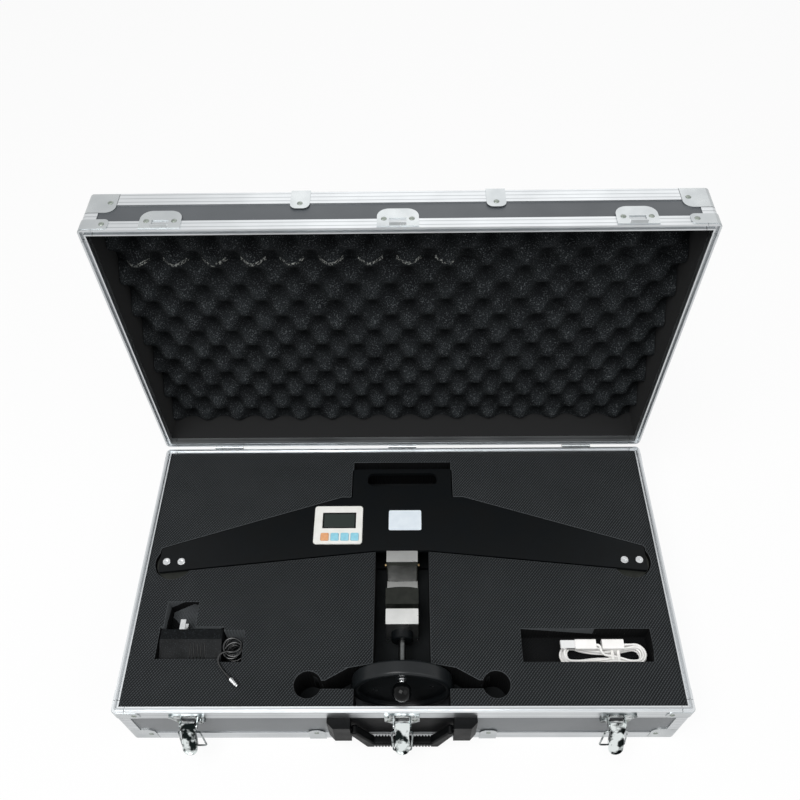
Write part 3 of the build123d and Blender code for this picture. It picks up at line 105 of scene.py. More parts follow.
def makeFinish(name, colours, patch, roughness, metallic=0.0, reliefs=(), blend=0.18, **sockets):
    material = bpy.data.materials.new(name)
    material.use_nodes = True
    tree = material.node_tree
    tree.nodes.clear()
    coordinates = addNode(tree, "ShaderNodeTexCoord")
    place = coordinates.outputs["Object"]
    cloud = addNode(tree, "ShaderNodeTexNoise", None, {"Vector": place, "Scale": 1 / patch, "Detail": 5.0})
    spread = addNode(tree, "ShaderNodeMapRange", None,
                     {"Value": cloud.outputs[0], "From Min": 0.5 - blend, "From Max": 0.5 + blend})
    colour = addNode(tree, "ShaderNodeMix", {"data_type": "RGBA"},
                     {0: spread.outputs[0], 6: linear(colours[0]), 7: linear(colours[1])})
    rough = addNode(tree, "ShaderNodeMapRange", None,
                    {"Value": cloud.outputs[0], "From Min": 0.3, "From Max": 0.7,
                     "To Min": roughness[0], "To Max": roughness[1]})
    normal = None
    for relief in reliefs:
        turned = addNode(tree, "ShaderNodeMapping", None,
                         {"Vector": place, "Rotation": relief.get("turn", (0, 0, 0)),
                          "Scale": relief.get("stretch", (1, 1, 1))}).outputs[0]
        if relief["kind"] == "ridges":  # the wave's own period is a tenth of pi at scale 1
            height = addNode(tree, "ShaderNodeTexWave", {"bands_direction": relief["along"]},
                             {"Vector": turned, "Scale": pi / 10 / relief["size"],
                              "Distortion": relief.get("waver", 0.0)}).outputs[1]
        elif relief["kind"] == "cells":
            height = addNode(tree, "ShaderNodeTexVoronoi", None,
                             {"Vector": turned, "Scale": 1 / relief["size"]}).outputs[0]
        else:
            height = addNode(tree, "ShaderNodeTexNoise", None,
                             {"Vector": turned, "Scale": 1 / relief["size"], "Detail": 3.0}).outputs[0]
        if "tint" in relief:
            share = addNode(tree, "ShaderNodeMapRange", None,
                            {"Value": height, "From Min": relief.get("from", 0.45), "From Max": relief.get("full", 0.9),
                             "To Max": relief["share"]})
            colour = addNode(tree, "ShaderNodeMix", {"data_type": "RGBA"},
                             {0: share.outputs[0], 6: colour.outputs[2], 7: linear(relief["tint"])})
        inputs = {"Height": height, "Strength": 1.0, "Distance": relief["depth"]}
        if normal:
            inputs["Normal"] = normal
        normal = addNode(tree, "ShaderNodeBump", None, inputs).outputs[0]
    inputs = {"Base Color": colour.outputs[2], "Roughness": rough.outputs[0], "Metallic": metallic}
    if normal:
        inputs["Normal"] = normal
    inputs.update({socket.replace("_", " "): value for socket, value in sockets.items()})
    shader = addNode(tree, "ShaderNodeBsdfPrincipled", None, inputs)
    addNode(tree, "ShaderNodeOutputMaterial", None, {"Surface": shader.outputs[0]})
    return material


# A second colour, and with it another metallic and roughness, where the mask is 1

def addZone(material, mask, colour, metallic=None, roughness=None):
    tree = material.node_tree
    shader = next(n for n in tree.nodes if n.type == "BSDF_PRINCIPLED")
    old = shader.inputs["Base Color"].links[0].from_socket
    mixed = addNode(tree, "ShaderNodeMix", {"data_type": "RGBA"}, {0: mask, 6: old, 7: linear(colour)})
    tree.links.new(mixed.outputs[2], shader.inputs["Base Color"])
    if roughness is not None:
        old = shader.inputs["Roughness"].links[0].from_socket
        mixed = addNode(tree, "ShaderNodeMix", None, {0: mask, 2: old, 3: roughness})
        tree.links.new(mixed.outputs[0], shader.inputs["Roughness"])
    if metallic is not None:
        start = shader.inputs["Metallic"].default_value
        mixed = addNode(tree, "ShaderNodeMix", None, {0: mask, 2: start, 3: metallic})
        tree.links.new(mixed.outputs[0], shader.inputs["Metallic"])


# 1 inside a box given in millimetres by its middle and half sizes, 0 outside it

def boxMask(material, middle, half):
    tree = material.node_tree
    coordinates = next(n for n in tree.nodes if n.type == "TEX_COORD")
    offset = addNode(tree, "ShaderNodeVectorMath", {"operation": "SUBTRACT"},
                     {0: coordinates.outputs["Object"], 1: Vector(middle) * mm})
    apart = addNode(tree, "ShaderNodeVectorMath", {"operation": "ABSOLUTE"}, {0: offset.outputs[0]})
    beyond = addNode(tree, "ShaderNodeVectorMath", {"operation": "SUBTRACT"},
                     {0: apart.outputs[0], 1: Vector(half) * mm})
    axes = addNode(tree, "ShaderNodeSeparateXYZ", None, {0: beyond.outputs[0]})
    flat = addNode(tree, "ShaderNodeMath", {"operation": "MAXIMUM"}, {0: axes.outputs[0], 1: axes.outputs[1]})
    most = addNode(tree, "ShaderNodeMath", {"operation": "MAXIMUM"}, {0: flat.outputs[0], 1: axes.outputs[2]})
    return addNode(tree, "ShaderNodeMath", {"operation": "LESS_THAN"}, {0: most.outputs[0], 1: 0.0}).outputs[0]


# 1 further than a reach in millimetres from a point, 0 nearer

def beyondMask(material, point, reach):
    tree = material.node_tree
    coordinates = next(n for n in tree.nodes if n.type == "TEX_COORD")
    apart = addNode(tree, "ShaderNodeVectorMath", {"operation": "DISTANCE"},
                    {0: coordinates.outputs["Object"], 1: Vector(point) * mm})
    return addNode(tree, "ShaderNodeMath", {"operation": "GREATER_THAN"},
                   {0: apart.outputs[1], 1: reach * mm}).outputs[0]


# 1 on upright faces, 0 on those that look along the object's z axis

def levelMask(material, most):
    tree = material.node_tree
    coordinates = next(n for n in tree.nodes if n.type == "TEX_COORD")
    axes = addNode(tree, "ShaderNodeSeparateXYZ", None, {0: coordinates.outputs["Normal"]})
    steep = addNode(tree, "ShaderNodeMath", {"operation": "ABSOLUTE"}, {0: axes.outputs[2]})
    return addNode(tree, "ShaderNodeMath", {"operation": "LESS_THAN"}, {0: steep.outputs[0], 1: most}).outputs[0]


# 1 on the rounded lips between a level face and an upright one

def lipMask(material):
    tree = material.node_tree
    rounded = addNode(tree, "ShaderNodeMath", {"operation": "SUBTRACT"},
                      {0: levelMask(material, 0.95), 1: levelMask(material, 0.2)})
    return rounded.outputs[0]


# Rises from 0 to 1 between two places along y, in millimetres

def depthMask(material, start, end):
    tree = material.node_tree
    coordinates = next(n for n in tree.nodes if n.type == "TEX_COORD")
    axes = addNode(tree, "ShaderNodeSeparateXYZ", None, {0: coordinates.outputs["Object"]})
    return addNode(tree, "ShaderNodeMapRange", None,
                   {"Value": axes.outputs[1], "From Min": start * mm, "From Max": end * mm}).outputs[0]


# Case metals. The rims' ridges run with the extrusion, so they stack along the walls' height

def extruded(name, along):  # clear anodised: bright and silky, with grooves 5.75 mm apart tinted dark as painted shade
    return makeFinish(
        name, ("#cdd0d2", "#c2c5c7"), 0.06, (0.32, 0.4), 1.0,
        [{"kind": "ridges", "along": along, "size": 5.75 * mm, "depth": 0.1 * mm,
          "tint": "#85898c", "share": 0.6, "from": 0.84, "full": 0.97}])


baseAluminium = extruded("anodisedAluminiumBase", "Z")
lidAluminium = extruded("anodisedAluminiumLid", "Y")
pressedNickel = makeFinish(  # caps, clips and hinges: pressed steel, nickel plated, softly bright
    "pressedNickelSteel", ("#bcc0c1", "#acb0b2"), 0.03, (0.24, 0.34), 1.0,
    [{"kind": "noise", "size": 14 * mm, "depth": 0.06 * mm}])
latchNickel = makeFinish(  # small pressings and bent wire: the same plate, painted with brighter and darker patches of reflection
    "rolledNickelSteel", ("#b4b9b9", "#3f4546"), 0.007, (0.12, 0.24), 1.0,
    [{"kind": "noise", "size": 6 * mm, "depth": 0.12 * mm}], blend=0.09)
leverChrome = makeFinish(  # drawn levers: mirror chrome, painted with light and dark patches of reflection
    "mirrorChromeSteel", ("#dfe5e4", "#151c1b"), 0.013, (0.07, 0.14), 1.0,
    [{"kind": "noise", "size": 7 * mm, "depth": 0.16 * mm}], blend=0.05)
rivetAlloy = makeFinish(  # clenched rivet heads: dull aluminium with a grey-green cast
    "clenchedRivetAlloy", ("#969c95", "#767d77"), 0.003, (0.32, 0.46), 1.0,
    [{"kind": "noise", "size": 0.9 * mm, "depth": 0.05 * mm}])
brassPin = makeFinish(  # drawn steel wire with a yellow zinc coat
    "zincYellowSteel", ("#b39a63", "#8f7a4e"), 0.006, (0.3, 0.45), 1.0,
    [{"kind": "noise", "size": 0.4 * mm, "depth": 0.004 * mm}])

# Case panels: plywood under a dark laminate whose grain is about half a millimetre

laminate = makeFinish(
    "embossedLaminate", ("#45494d", "#3c4044"), 0.09, (0.38, 0.5), 0.0,
    [{"kind": "cells", "size": 0.9 * mm, "depth": 0.03 * mm},
     {"kind": "noise", "size": 0.35 * mm, "depth": 0.02 * mm}])
addZone(laminate, boxMask(laminate, (0, 210, 274.5), (314.6, 28, 174.6)), "#090a0b", 0.0, 0.9)  # the lid's inner walls, drawn near-black and matt
addZone(laminate, boxMask(laminate, (0, -180, 46), (318, 3, 46)), "#696d70")  # painted light: the front panel drawn lighter, as lit from the floor

# Foams. The top layer is embossed with fine slanting lines about 1.7 mm apart, drawn at 2.7 mm
# so that they show, with a painted highlight on one set and painted shade on the other; its cut
# walls show open cells on the real foam, and here they are painted near-black as shade

hatchedFoam = makeFinish(
    "embossedClosedCellFoam", ("#1e2021", "#191b1c"), 0.04, (0.82, 0.94), 0.0,
    [{"kind": "ridges", "along": "X", "size": 2.7 * mm, "depth": 0.4 * mm, "turn": (0, 0, radians(39)),
      "waver": 0.4, "tint": "#505457", "share": 0.62},
     {"kind": "ridges", "along": "X", "size": 2.9 * mm, "depth": 0.3 * mm, "turn": (0, 0, radians(-37)),
      "waver": 0.4, "tint": "#1b1d1e", "share": 0.7},
     {"kind": "noise", "size": 0.5 * mm, "depth": 0.05 * mm}], Specular_IOR_Level=0.12)
addZone(hatchedFoam, boxMask(hatchedFoam, (0, 0, 44), (330, 190, 44.6)), "#0c0d0e")  # pocket floors, without the embossed lines, drawn near-black as painted shade
# painted shade: the upright cut walls drawn near-black
addZone(hatchedFoam, levelMask(hatchedFoam, 0.2), "#090a0b")
# painted highlight: the rounded lips around the openings drawn lighter
addZone(hatchedFoam, lipMask(hatchedFoam), "#46494b")
plainFoam = makeFinish(
    "plainClosedCellFoam", ("#1d1f20", "#17191a"), 0.03, (0.88, 0.96), 0.0,
    [{"kind": "cells", "size": 0.8 * mm, "depth": 0.12 * mm}], Specular_IOR_Level=0.1)
openFoam = makeFinish(  # polyether foam: open cells of about 0.7 mm, drawn at 1.2 mm, with no gloss
    "openCellFoam", ("#25282a", "#191b1d"), 0.02, (0.92, 1.0), 0.0,
    [{"kind": "cells", "size": 1.2 * mm, "depth": 0.5 * mm, "tint": "#8a9093", "share": 0.4, "from": 0.64},
     {"kind": "noise", "size": 2.5 * mm, "depth": 0.3 * mm}], Specular_IOR_Level=0.05)
addZone(openFoam, depthMask(openFoam, 221.5, 239.0), "#0f1112")  # painted shade: darker deep in the valleys
tornEdge = {"middle": (-120, 222, 377.5), "half": (180, 9, 2.6), "shred": 2.2}
shreds = addNode(openFoam.node_tree, "ShaderNodeTexNoise", None,
                 {"Vector": openFoam.node_tree.nodes["Texture Coordinate"].outputs["Object"],
                  "Scale": 1 / (tornEdge["shred"] * mm)})
shredded = addNode(openFoam.node_tree, "ShaderNodeMapRange", None,
                   {"Value": shreds.outputs[0], "From Min": 0.5, "From Max": 0.62})
tornPart = addNode(openFoam.node_tree, "ShaderNodeMath", {"operation": "MULTIPLY"},
                   {0: boxMask(openFoam, tornEdge["middle"], tornEdge["half"]), 1: shredded.outputs[0]})
addZone(openFoam, tornPart.outputs[0], "#a3a6a2")

# Tester finishes

paintedSteel = makeFinish(  # steel plate with satin black powder paint: a fine orange peel
    "satinPowderPaint", ("#0b0e10", "#07090a"), 0.03, (0.42, 0.55), 0.0,
    [{"kind": "noise", "size": 1.4 * mm, "depth": 0.02 * mm},
     {"kind": "noise", "size": 0.35 * mm, "depth": 0.006 * mm}], Specular_IOR_Level=0.12)
blackOxide = makeFinish(  # hardened steel, blackened: dark and faintly oily
    "blackOxideSteel", ("#242622", "#191b18"), 0.01, (0.36, 0.5), 0.0,
    [{"kind": "noise", "size": 0.5 * mm, "depth": 0.006 * mm, "stretch": (0.08, 1, 1)}], Specular_IOR_Level=0.2)
wheelPaint = makeFinish(  # turned aluminium wheel, satin black anodised
    "satinBlackWheel", ("#1b1e20", "#121517"), 0.02, (0.26, 0.36), 0.0,
    [{"kind": "noise", "size": 0.4 * mm, "depth": 0.006 * mm}], Specular_IOR_Level=0.25)
brushedAluminium = makeFinish(  # milled aluminium brushed along the pull
    "brushedAluminium", ("#dcdddb", "#cccdcb"), 0.02, (0.26, 0.38), 1.0,
    [{"kind": "noise", "size": 0.5 * mm, "depth": 0.012 * mm, "stretch": (1, 0.03, 1)}])
pinEnds = boxMask(brushedAluminium, (0, 16, 64), (30, 3, 3))
innerFrame = boxMask(brushedAluminium, (0, 0, 64), (19.4, 400, 400))
onlyPins = addNode(brushedAluminium.node_tree, "ShaderNodeMath", {"operation": "SUBTRACT", "use_clamp": True},
                   {0: pinEnds, 1: innerFrame})
addZone(brushedAluminium, onlyPins.outputs[0], "#8d7a5a", 1.0, 0.4)
groundSteel = makeFinish(  # ground shaft: fine streaks along its length
    "groundSteel", ("#6b6d6d", "#4b4d4d"), 0.008, (0.26, 0.4), 1.0,
    [{"kind": "noise", "size": 0.45 * mm, "depth": 0.015 * mm, "stretch": (1, 0.04, 1)}])
steelFastener = makeFinish(
    "plainZincSteel", ("#d6d8d9", "#bdbfc1"), 0.004, (0.18, 0.3), 1.0,
    [{"kind": "noise", "size": 0.3 * mm, "depth": 0.004 * mm}])

# Plastics

blackNylon = makeFinish(  # glass-filled nylon handle: fine spark-eroded grain
    "texturedNylon", ("#0c0d0e", "#070809"), 0.02, (0.36, 0.5), 0.0,
    [{"kind": "cells", "size": 0.6 * mm, "depth": 0.03 * mm}], Specular_IOR_Level=0.07)
mattShell = makeFinish(  # adapter housing: polycarbonate with a matt moulded grain
    "grainedPolycarbonate", ("#0d0f11", "#090b0c"), 0.015, (0.3, 0.42), 0.0,
    [{"kind": "cells", "size": 1.1 * mm, "depth": 0.1 * mm, "tint": "#34393c", "share": 0.4,
      "from": 0.6}], Specular_IOR_Level=0.06)
phenolic = makeFinish(  # polished phenolic ball knob
    "polishedPhenolic", ("#0a0b0c", "#070808"), 0.02, (0.06, 0.12), 0.0,
    [{"kind": "noise", "size": 5 * mm, "depth": 0.02 * mm}], Specular_IOR_Level=0.12)
blackCordSkin = makeFinish(
    "softBlackVinyl", ("#121415", "#0c0e0f"), 0.01, (0.1, 0.2), 0.0,
    [{"kind": "noise", "size": 1.2 * mm, "depth": 0.03 * mm}], Specular_IOR_Level=0.5,
    Coat_Weight=0.35, Coat_Roughness=0.06)
plugVinyl = makeFinish(  # the lead's plug: black relief, nickel barrel and tip
    "plugVinylAndNickel", ("#121415", "#0c0e0f"), 0.01, (0.2, 0.3), 0.0,
    [{"kind": "ridges", "along": "X", "size": 1.6 * mm, "depth": 0.3 * mm}], Specular_IOR_Level=0.5)
addZone(plugVinyl, beyondMask(plugVinyl, (-198.5, -136.0, 92.4), 9.2), "#d6d8d9", 1.0, 0.2)
whiteCordSkin = makeFinish(
    "softWhiteVinyl", ("#fbfaf8", "#f4f3f0"), 0.012, (0.3, 0.42), 0.0,
    [{"kind": "noise", "size": 1.5 * mm, "depth": 0.03 * mm}], Specular_IOR_Level=0.45)
whitePlugs = makeFinish(  # moulded white grips with a nickel shell on the wide plug
    "mouldedWhiteVinyl", ("#fbfaf8", "#f3f2ef"), 0.01, (0.36, 0.48), 0.0,
    [{"kind": "noise", "size": 0.5 * mm, "depth": 0.015 * mm}], Specular_IOR_Level=0.4)
addZone(whitePlugs, boxMask(whitePlugs, (190, -97.5, 80.1), (10.9, 8, 6)), "#e9eaea", 0.7, 0.2)
bezelPlastic = makeFinish(
    "ivoryMouldedPlastic", ("#f1f1ed", "#e7e7e1"), 0.012, (0.34, 0.46), 0.0,
    [{"kind": "noise", "size": 0.5 * mm, "depth": 0.012 * mm}], Specular_IOR_Level=0.45)
orangeRubber = makeFinish(
    "orangeSiliconeKey", ("#e6ab7e", "#dc9c6c"), 0.004, (0.42, 0.55), 0.0,
    [{"kind": "noise", "size": 0.4 * mm, "depth": 0.012 * mm}], Specular_IOR_Level=0.4)
blueRubber = makeFinish(
    "blueSiliconeKey", ("#9ad8e9", "#8ccbdf"), 0.004, (0.42, 0.55), 0.0,
    [{"kind": "noise", "size": 0.4 * mm, "depth": 0.012 * mm}], Specular_IOR_Level=0.4)
displayGlass = makeFinish(  # unlit liquid crystal behind a clear window, with a dark border
    "unlitLiquidCrystal", ("#0e1111", "#0b0d0d"), 0.02, (0.12, 0.18), 0.0,
    [{"kind": "noise", "size": 9 * mm, "depth": 0.01 * mm}], Specular_IOR_Level=0.5)
addZone(displayGlass, boxMask(displayGlass, (-80, 65.8, 91), (19.4, 9.8, 4)), "#343b38", 0.0, 0.26)
circuitFilm = makeFinish(
    "greenSolderMask", ("#1f5a38", "#1a4d30"), 0.006, (0.3, 0.45), 0.0,
    [{"kind": "cells", "size": 2.4 * mm, "depth": 0.05 * mm}])
cellSleeve = makeFinish(
    "blueCellSleeve", ("#2a5c9e", "#244f8a"), 0.01, (0.25, 0.4), 0.0,
    [{"kind": "noise", "size": 2 * mm, "depth": 0.02 * mm}])
labelFilm = makeFinish(  # satin polyester label, left blank
    "satinPolyesterLabel", ("#e6eff6", "#dde7ef"), 0.01, (0.3, 0.42), 0.0,
    [{"kind": "noise", "size": 3 * mm, "depth": 0.015 * mm}], Specular_IOR_Level=0.4)
tieSkin = makeFinish(
    "whiteTieVinyl", ("#f0efec", "#e4e3df"), 0.006, (0.35, 0.5), 0.0,
    [{"kind": "noise", "size": 0.8 * mm, "depth": 0.02 * mm}], Specular_IOR_Level=0.4)

nodeFinishes = [
    (baseAluminium, ["base_rim", "base_rails"]),
    (lidAluminium, ["lid_rim", "lid_rails"]),
    (pressedNickel, ["base_corner_caps", "base_clips", "lid_corner_caps", "lid_clips", "catch_plates",
                     "hinge_base_leaves", "hinge_lid_leaves"]),
    (latchNickel, ["latch_plates", "latch_bail_left", "latch_bail_center", "latch_bail_right",
                   "lock_collars", "lock_plug_left", "lock_plug_right"]),
    (leverChrome, ["latch_lever_left", "latch_lever_center", "latch_lever_right"]),
    (brassPin, ["hinge_pins"]),
    (laminate, ["base_shell", "lid_shell"]),
    (paintedSteel, ["tester_front_plate", "tester_rear_plate", "thrust_cap"]),
    (blackOxide, ["fixed_jaw", "moving_jaw", "plate_spacers", "end_sheaves"]),
    (wheelPaint, ["handwheel"]),
    (brushedAluminium, ["c_frame", "load_cell"]),
    (groundSteel, ["screw_spindle"]),
    (steelFastener, ["plate_screws", "knob_stud", "adapter_prongs"]),
    (blackNylon, ["handle_grip", "handle_mount"]),
    (mattShell, ["adapter_body"]),
    (phenolic, ["crank_knob"]),
    (plugVinyl, ["lead_plug"]),
    (whitePlugs, ["data_cable_plugs"]),
    (bezelPlastic, ["display_bezel"]),
    (orangeRubber, ["button_power"]),
    (blueRubber, ["button_unit", "button_zero", "button_hold"]),
    (displayGlass, ["display_screen"]),
    (circuitFilm, ["circuit_board"]),
    (cellSleeve, ["battery"]),
]
for finish, names in nodeFinishes:
    for name in names:
        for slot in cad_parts[name].material_slots:
            slot.link = "OBJECT"
            slot.material = finish
print("finishes made:", len(nodeFinishes))


# A smooth cord on its control points, given in millimetres

def makeCord(name, points, diameter, finish):
    curve = bpy.data.curves.new(name, "CURVE")
    curve.dimensions = "3D"
    curve.resolution_u = 5
    curve.bevel_depth = diameter / 2 * mm
    curve.bevel_resolution = 3
    curve.use_fill_caps = True
    spline = curve.splines.new("NURBS")
    spline.points.add(len(points) - 1)
    for point, place in zip(spline.points, points):
        point.co = (*(Vector(place) * mm), 1)
    spline.order_u = 3
    spline.use_endpoint_u = True
    curve.materials.append(finish)
    cord = bpy.data.objects.new(name, curve)
    scene.collection.objects.link(cord)
    return cord


# Adapter lead: out of the gland, down the outside of its coil, up the inside, and out on top in
# wider turns that lie loosely across each other

lead = {
    "diameter": 2.6,
    "length": 0.79,
    "exit": (-205.46, -91.3, 73.0),
    "coilMiddle": (-196.5, -102.0),
    "outer": 10.9,
    "pointsPerTurn": 14,
    "stages": [  # turns, then the radius, height and shift along y that the stage ends at
        (3.75, 10.9, 62.3, 0.0),
        (0.35, 7.8, 62.2, 0.0),
        (4.8, 7.8, 75.7, 0.0),
        (1.0, 9.9, 78.7, 4.6),
        (1.0, 10.6, 81.7, -4.2),
        (0.9, 10.8, 84.6, 3.0),
        (0.3, 10.9, 85.6, 0.0),
    ],
    "route": [
        (-185.6, -96.3, 86.0), (-186.8, -105.0, 87.6), (-194.5, -109.5, 88.8), (-203.0, -108.3, 90.4),
        (-209.2, -113.0, 92.4), (-210.0, -121.5, 92.6), (-205.0, -129.5, 91.6), (-198.5, -136.0, 92.4),
    ],
}


def leadPoints():
    points = [lead["exit"], (-201.5, -91.3, 73.0)]
    angle = pi / 2
    radius, height, shift = lead["outer"], lead["exit"][2], 0.0
    step = 2 * pi / lead["pointsPerTurn"]
    swell = 1 / cos(step / 2)  # the curve runs inside its control points
    x, y = lead["coilMiddle"]
    for turns, endRadius, endHeight, endShift in lead["stages"]:
        count = round(turns * lead["pointsPerTurn"])
        startRadius, startHeight, startShift = radius, height, shift
        for i in range(count):
            share = (i + 1) / count
            angle -= step
            radius = startRadius + (endRadius - startRadius) * share
            height = startHeight + (endHeight - startHeight) * share
            shift = startShift + (endShift - startShift) * share
            points.append((x + radius * swell * cos(angle), y + shift + radius * swell * sin(angle), height))
    return points + lead["route"]


adapterLead = makeCord("adapterLead", leadPoints(), lead["diameter"], blackCordSkin)
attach(adapterLead, "adapter")
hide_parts("adapter_lead_coil", "adapter_lead")

# Data cable: folded into a hank whose inner turns go down and outer turns come back up

hank = {
    "diameter": 2.7,
    "length": 1.35,
    "exit": (225.0, -97.5, 80.1),
    "leadIn": [
        (225.0, -97.5, 80.1), (226.8, -97.5, 80.1), (229.0, -98.3, 80.1), (230.1, -100.4, 80.0),
        (230.2, -103.4, 79.7), (231.2, -106.6, 79.0), (234.0, -108.6, 77.7), (238.0, -109.0, 76.0),
        (242.6, -109.0, 74.7), (248.0, -109.6, 74.3), (256.0, -112.4, 74.6), (263.0, -115.0, 75.0),
    ],
    "leadOut": [(272.6, -95.1, 75.0), (267.5, -95.7, 76.2), (262.5, -97.4, 79.7), (257.0, -97.5, 80.1)],
    "middle": -106.5,
    "leftFold": 197.0,
    "rightFold": 271.0,
    "inner": 8.4,
    "outer": 11.4,
    "levels": [75.0, 71.8, 68.6, 65.4],
    "leftShifts": [0.0, 2.4, -1.2, 1.6],
    "rightShifts": [0.0, -2.0, 1.0, -1.4],
    "waists": [  # x, inner and outer share of the radius, for the tight and for the slack turns
        [(206, 1.0, 1.0), (230, 0.78, 0.94), (247, 0.4, 0.66), (262, 0.92, 0.99)],
        [(207, 0.82, 0.97), (228, 0.42, 0.82), (247, 0.42, 0.64), (261, 0.8, 0.95)],
    ],
    "foldStep": 30,
    "foldSwell": 0.3,
}


def foldPoints(centreX, radius, height, start, end):
    points = []
    for degrees in range(start, end + 1, hank["foldStep"]):
        inside = start < degrees < end
        reach = radius + (hank["foldSwell"] if inside else 0)
        angle = radians(degrees)
        points.append((centreX + reach * cos(angle), hank["middle"] + reach * sin(angle), height))
    return points


# A run from the left fold to the right one, or back, whose height changes before the ties

def runPoints(side, radius, level, nextLevel):
    points = []
    height, nextHeight = hank["levels"][level], hank["levels"][nextLevel]
    for i, (x, innerShare, outerShare) in enumerate(hank["waists"][min(level, nextLevel) % 2]):
        share = innerShare if radius == hank["inner"] else outerShare
        points.append((x, hank["middle"] + side * radius * share, height if i == 0 else nextHeight))
    return points


def hankPoints():
    points = list(hank["leadIn"])
    levels = hank["levels"]
    inner, outer = hank["inner"], hank["outer"]
    last = len(levels) - 1
    for i, height in enumerate(levels):
        points += foldPoints(hank["rightFold"] + hank["rightShifts"][i], inner, height, -90, 90)
        points += runPoints(1, inner, i, i)[::-1]
        points += foldPoints(hank["leftFold"] + hank["leftShifts"][i], outer if i == last else inner, height, 90, 270)
        if i < last:
            points += runPoints(-1, inner, i, i + 1)
    for i in range(last - 1, -1, -1):
        height = levels[i]
        points += runPoints(-1, outer, i + 1, i)
        right = hank["rightFold"] + hank["rightShifts"][i]
        if i == 0:
            return points + foldPoints(right, outer, height, -90, 60) + hank["leadOut"]
        points += foldPoints(right, outer, height, -90, 90)
        points += runPoints(1, outer, i, i)[::-1]
        points += foldPoints(hank["leftFold"] + hank["leftShifts"][i], outer, height, 90, 270)


dataCable = makeCord("dataCable", hankPoints(), hank["diameter"], whiteCordSkin)
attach(dataCable, "data_cable")
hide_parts("data_cable_hank")
print("cords laid")


def newPiece(name, mesh, body, finish=None):
    if finish:
        mesh.materials.clear()
        mesh.materials.append(finish)
    mesh.name = name
    piece = bpy.data.objects.new(name, mesh)
    scene.collection.objects.link(piece)
    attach(piece, body)
    return piece


# Geometry Nodes: a tree with named inputs, run once on a holder and turned into a plain mesh

def newTree(name, inputs):
    tree = bpy.data.node_groups.new(name, "GeometryNodeTree")
    for label, kind in inputs:
        tree.interface.new_socket(label, in_out="INPUT", socket_type=kind)
    tree.interface.new_socket("Geometry", in_out="OUTPUT", socket_type="NodeSocketGeometry")
    return tree, addNode(tree, "NodeGroupInput").outputs


def growMesh(tree, values, source=None):
    holder = bpy.data.objects.new("holder", source or bpy.data.meshes.new("empty"))
    scene.collection.objects.link(holder)
    modifier = holder.modifiers.new("grow", "NODES")
    modifier.node_group = tree
    for item in tree.interface.items_tree:
        if item.in_out == "INPUT" and item.name in values:
            modifier[item.identifier] = values[item.name]
    graph = bpy.context.evaluated_depsgraph_get()
    mesh = bpy.data.meshes.new_from_object(holder.evaluated_get(graph))
    bpy.data.objects.remove(holder)
    return mesh


# Egg-crate foam: a closed slab whose front rises and falls in staggered rows

eggCrate = {
    "across": 43.0,
    "up": 49.0,
    "relief": 18.0,
    "seam": 375.0,
    "joint": 0.8,
    "cell": 3.0,
    "waver": 1.6,
    "edgeSharp": 55,
}


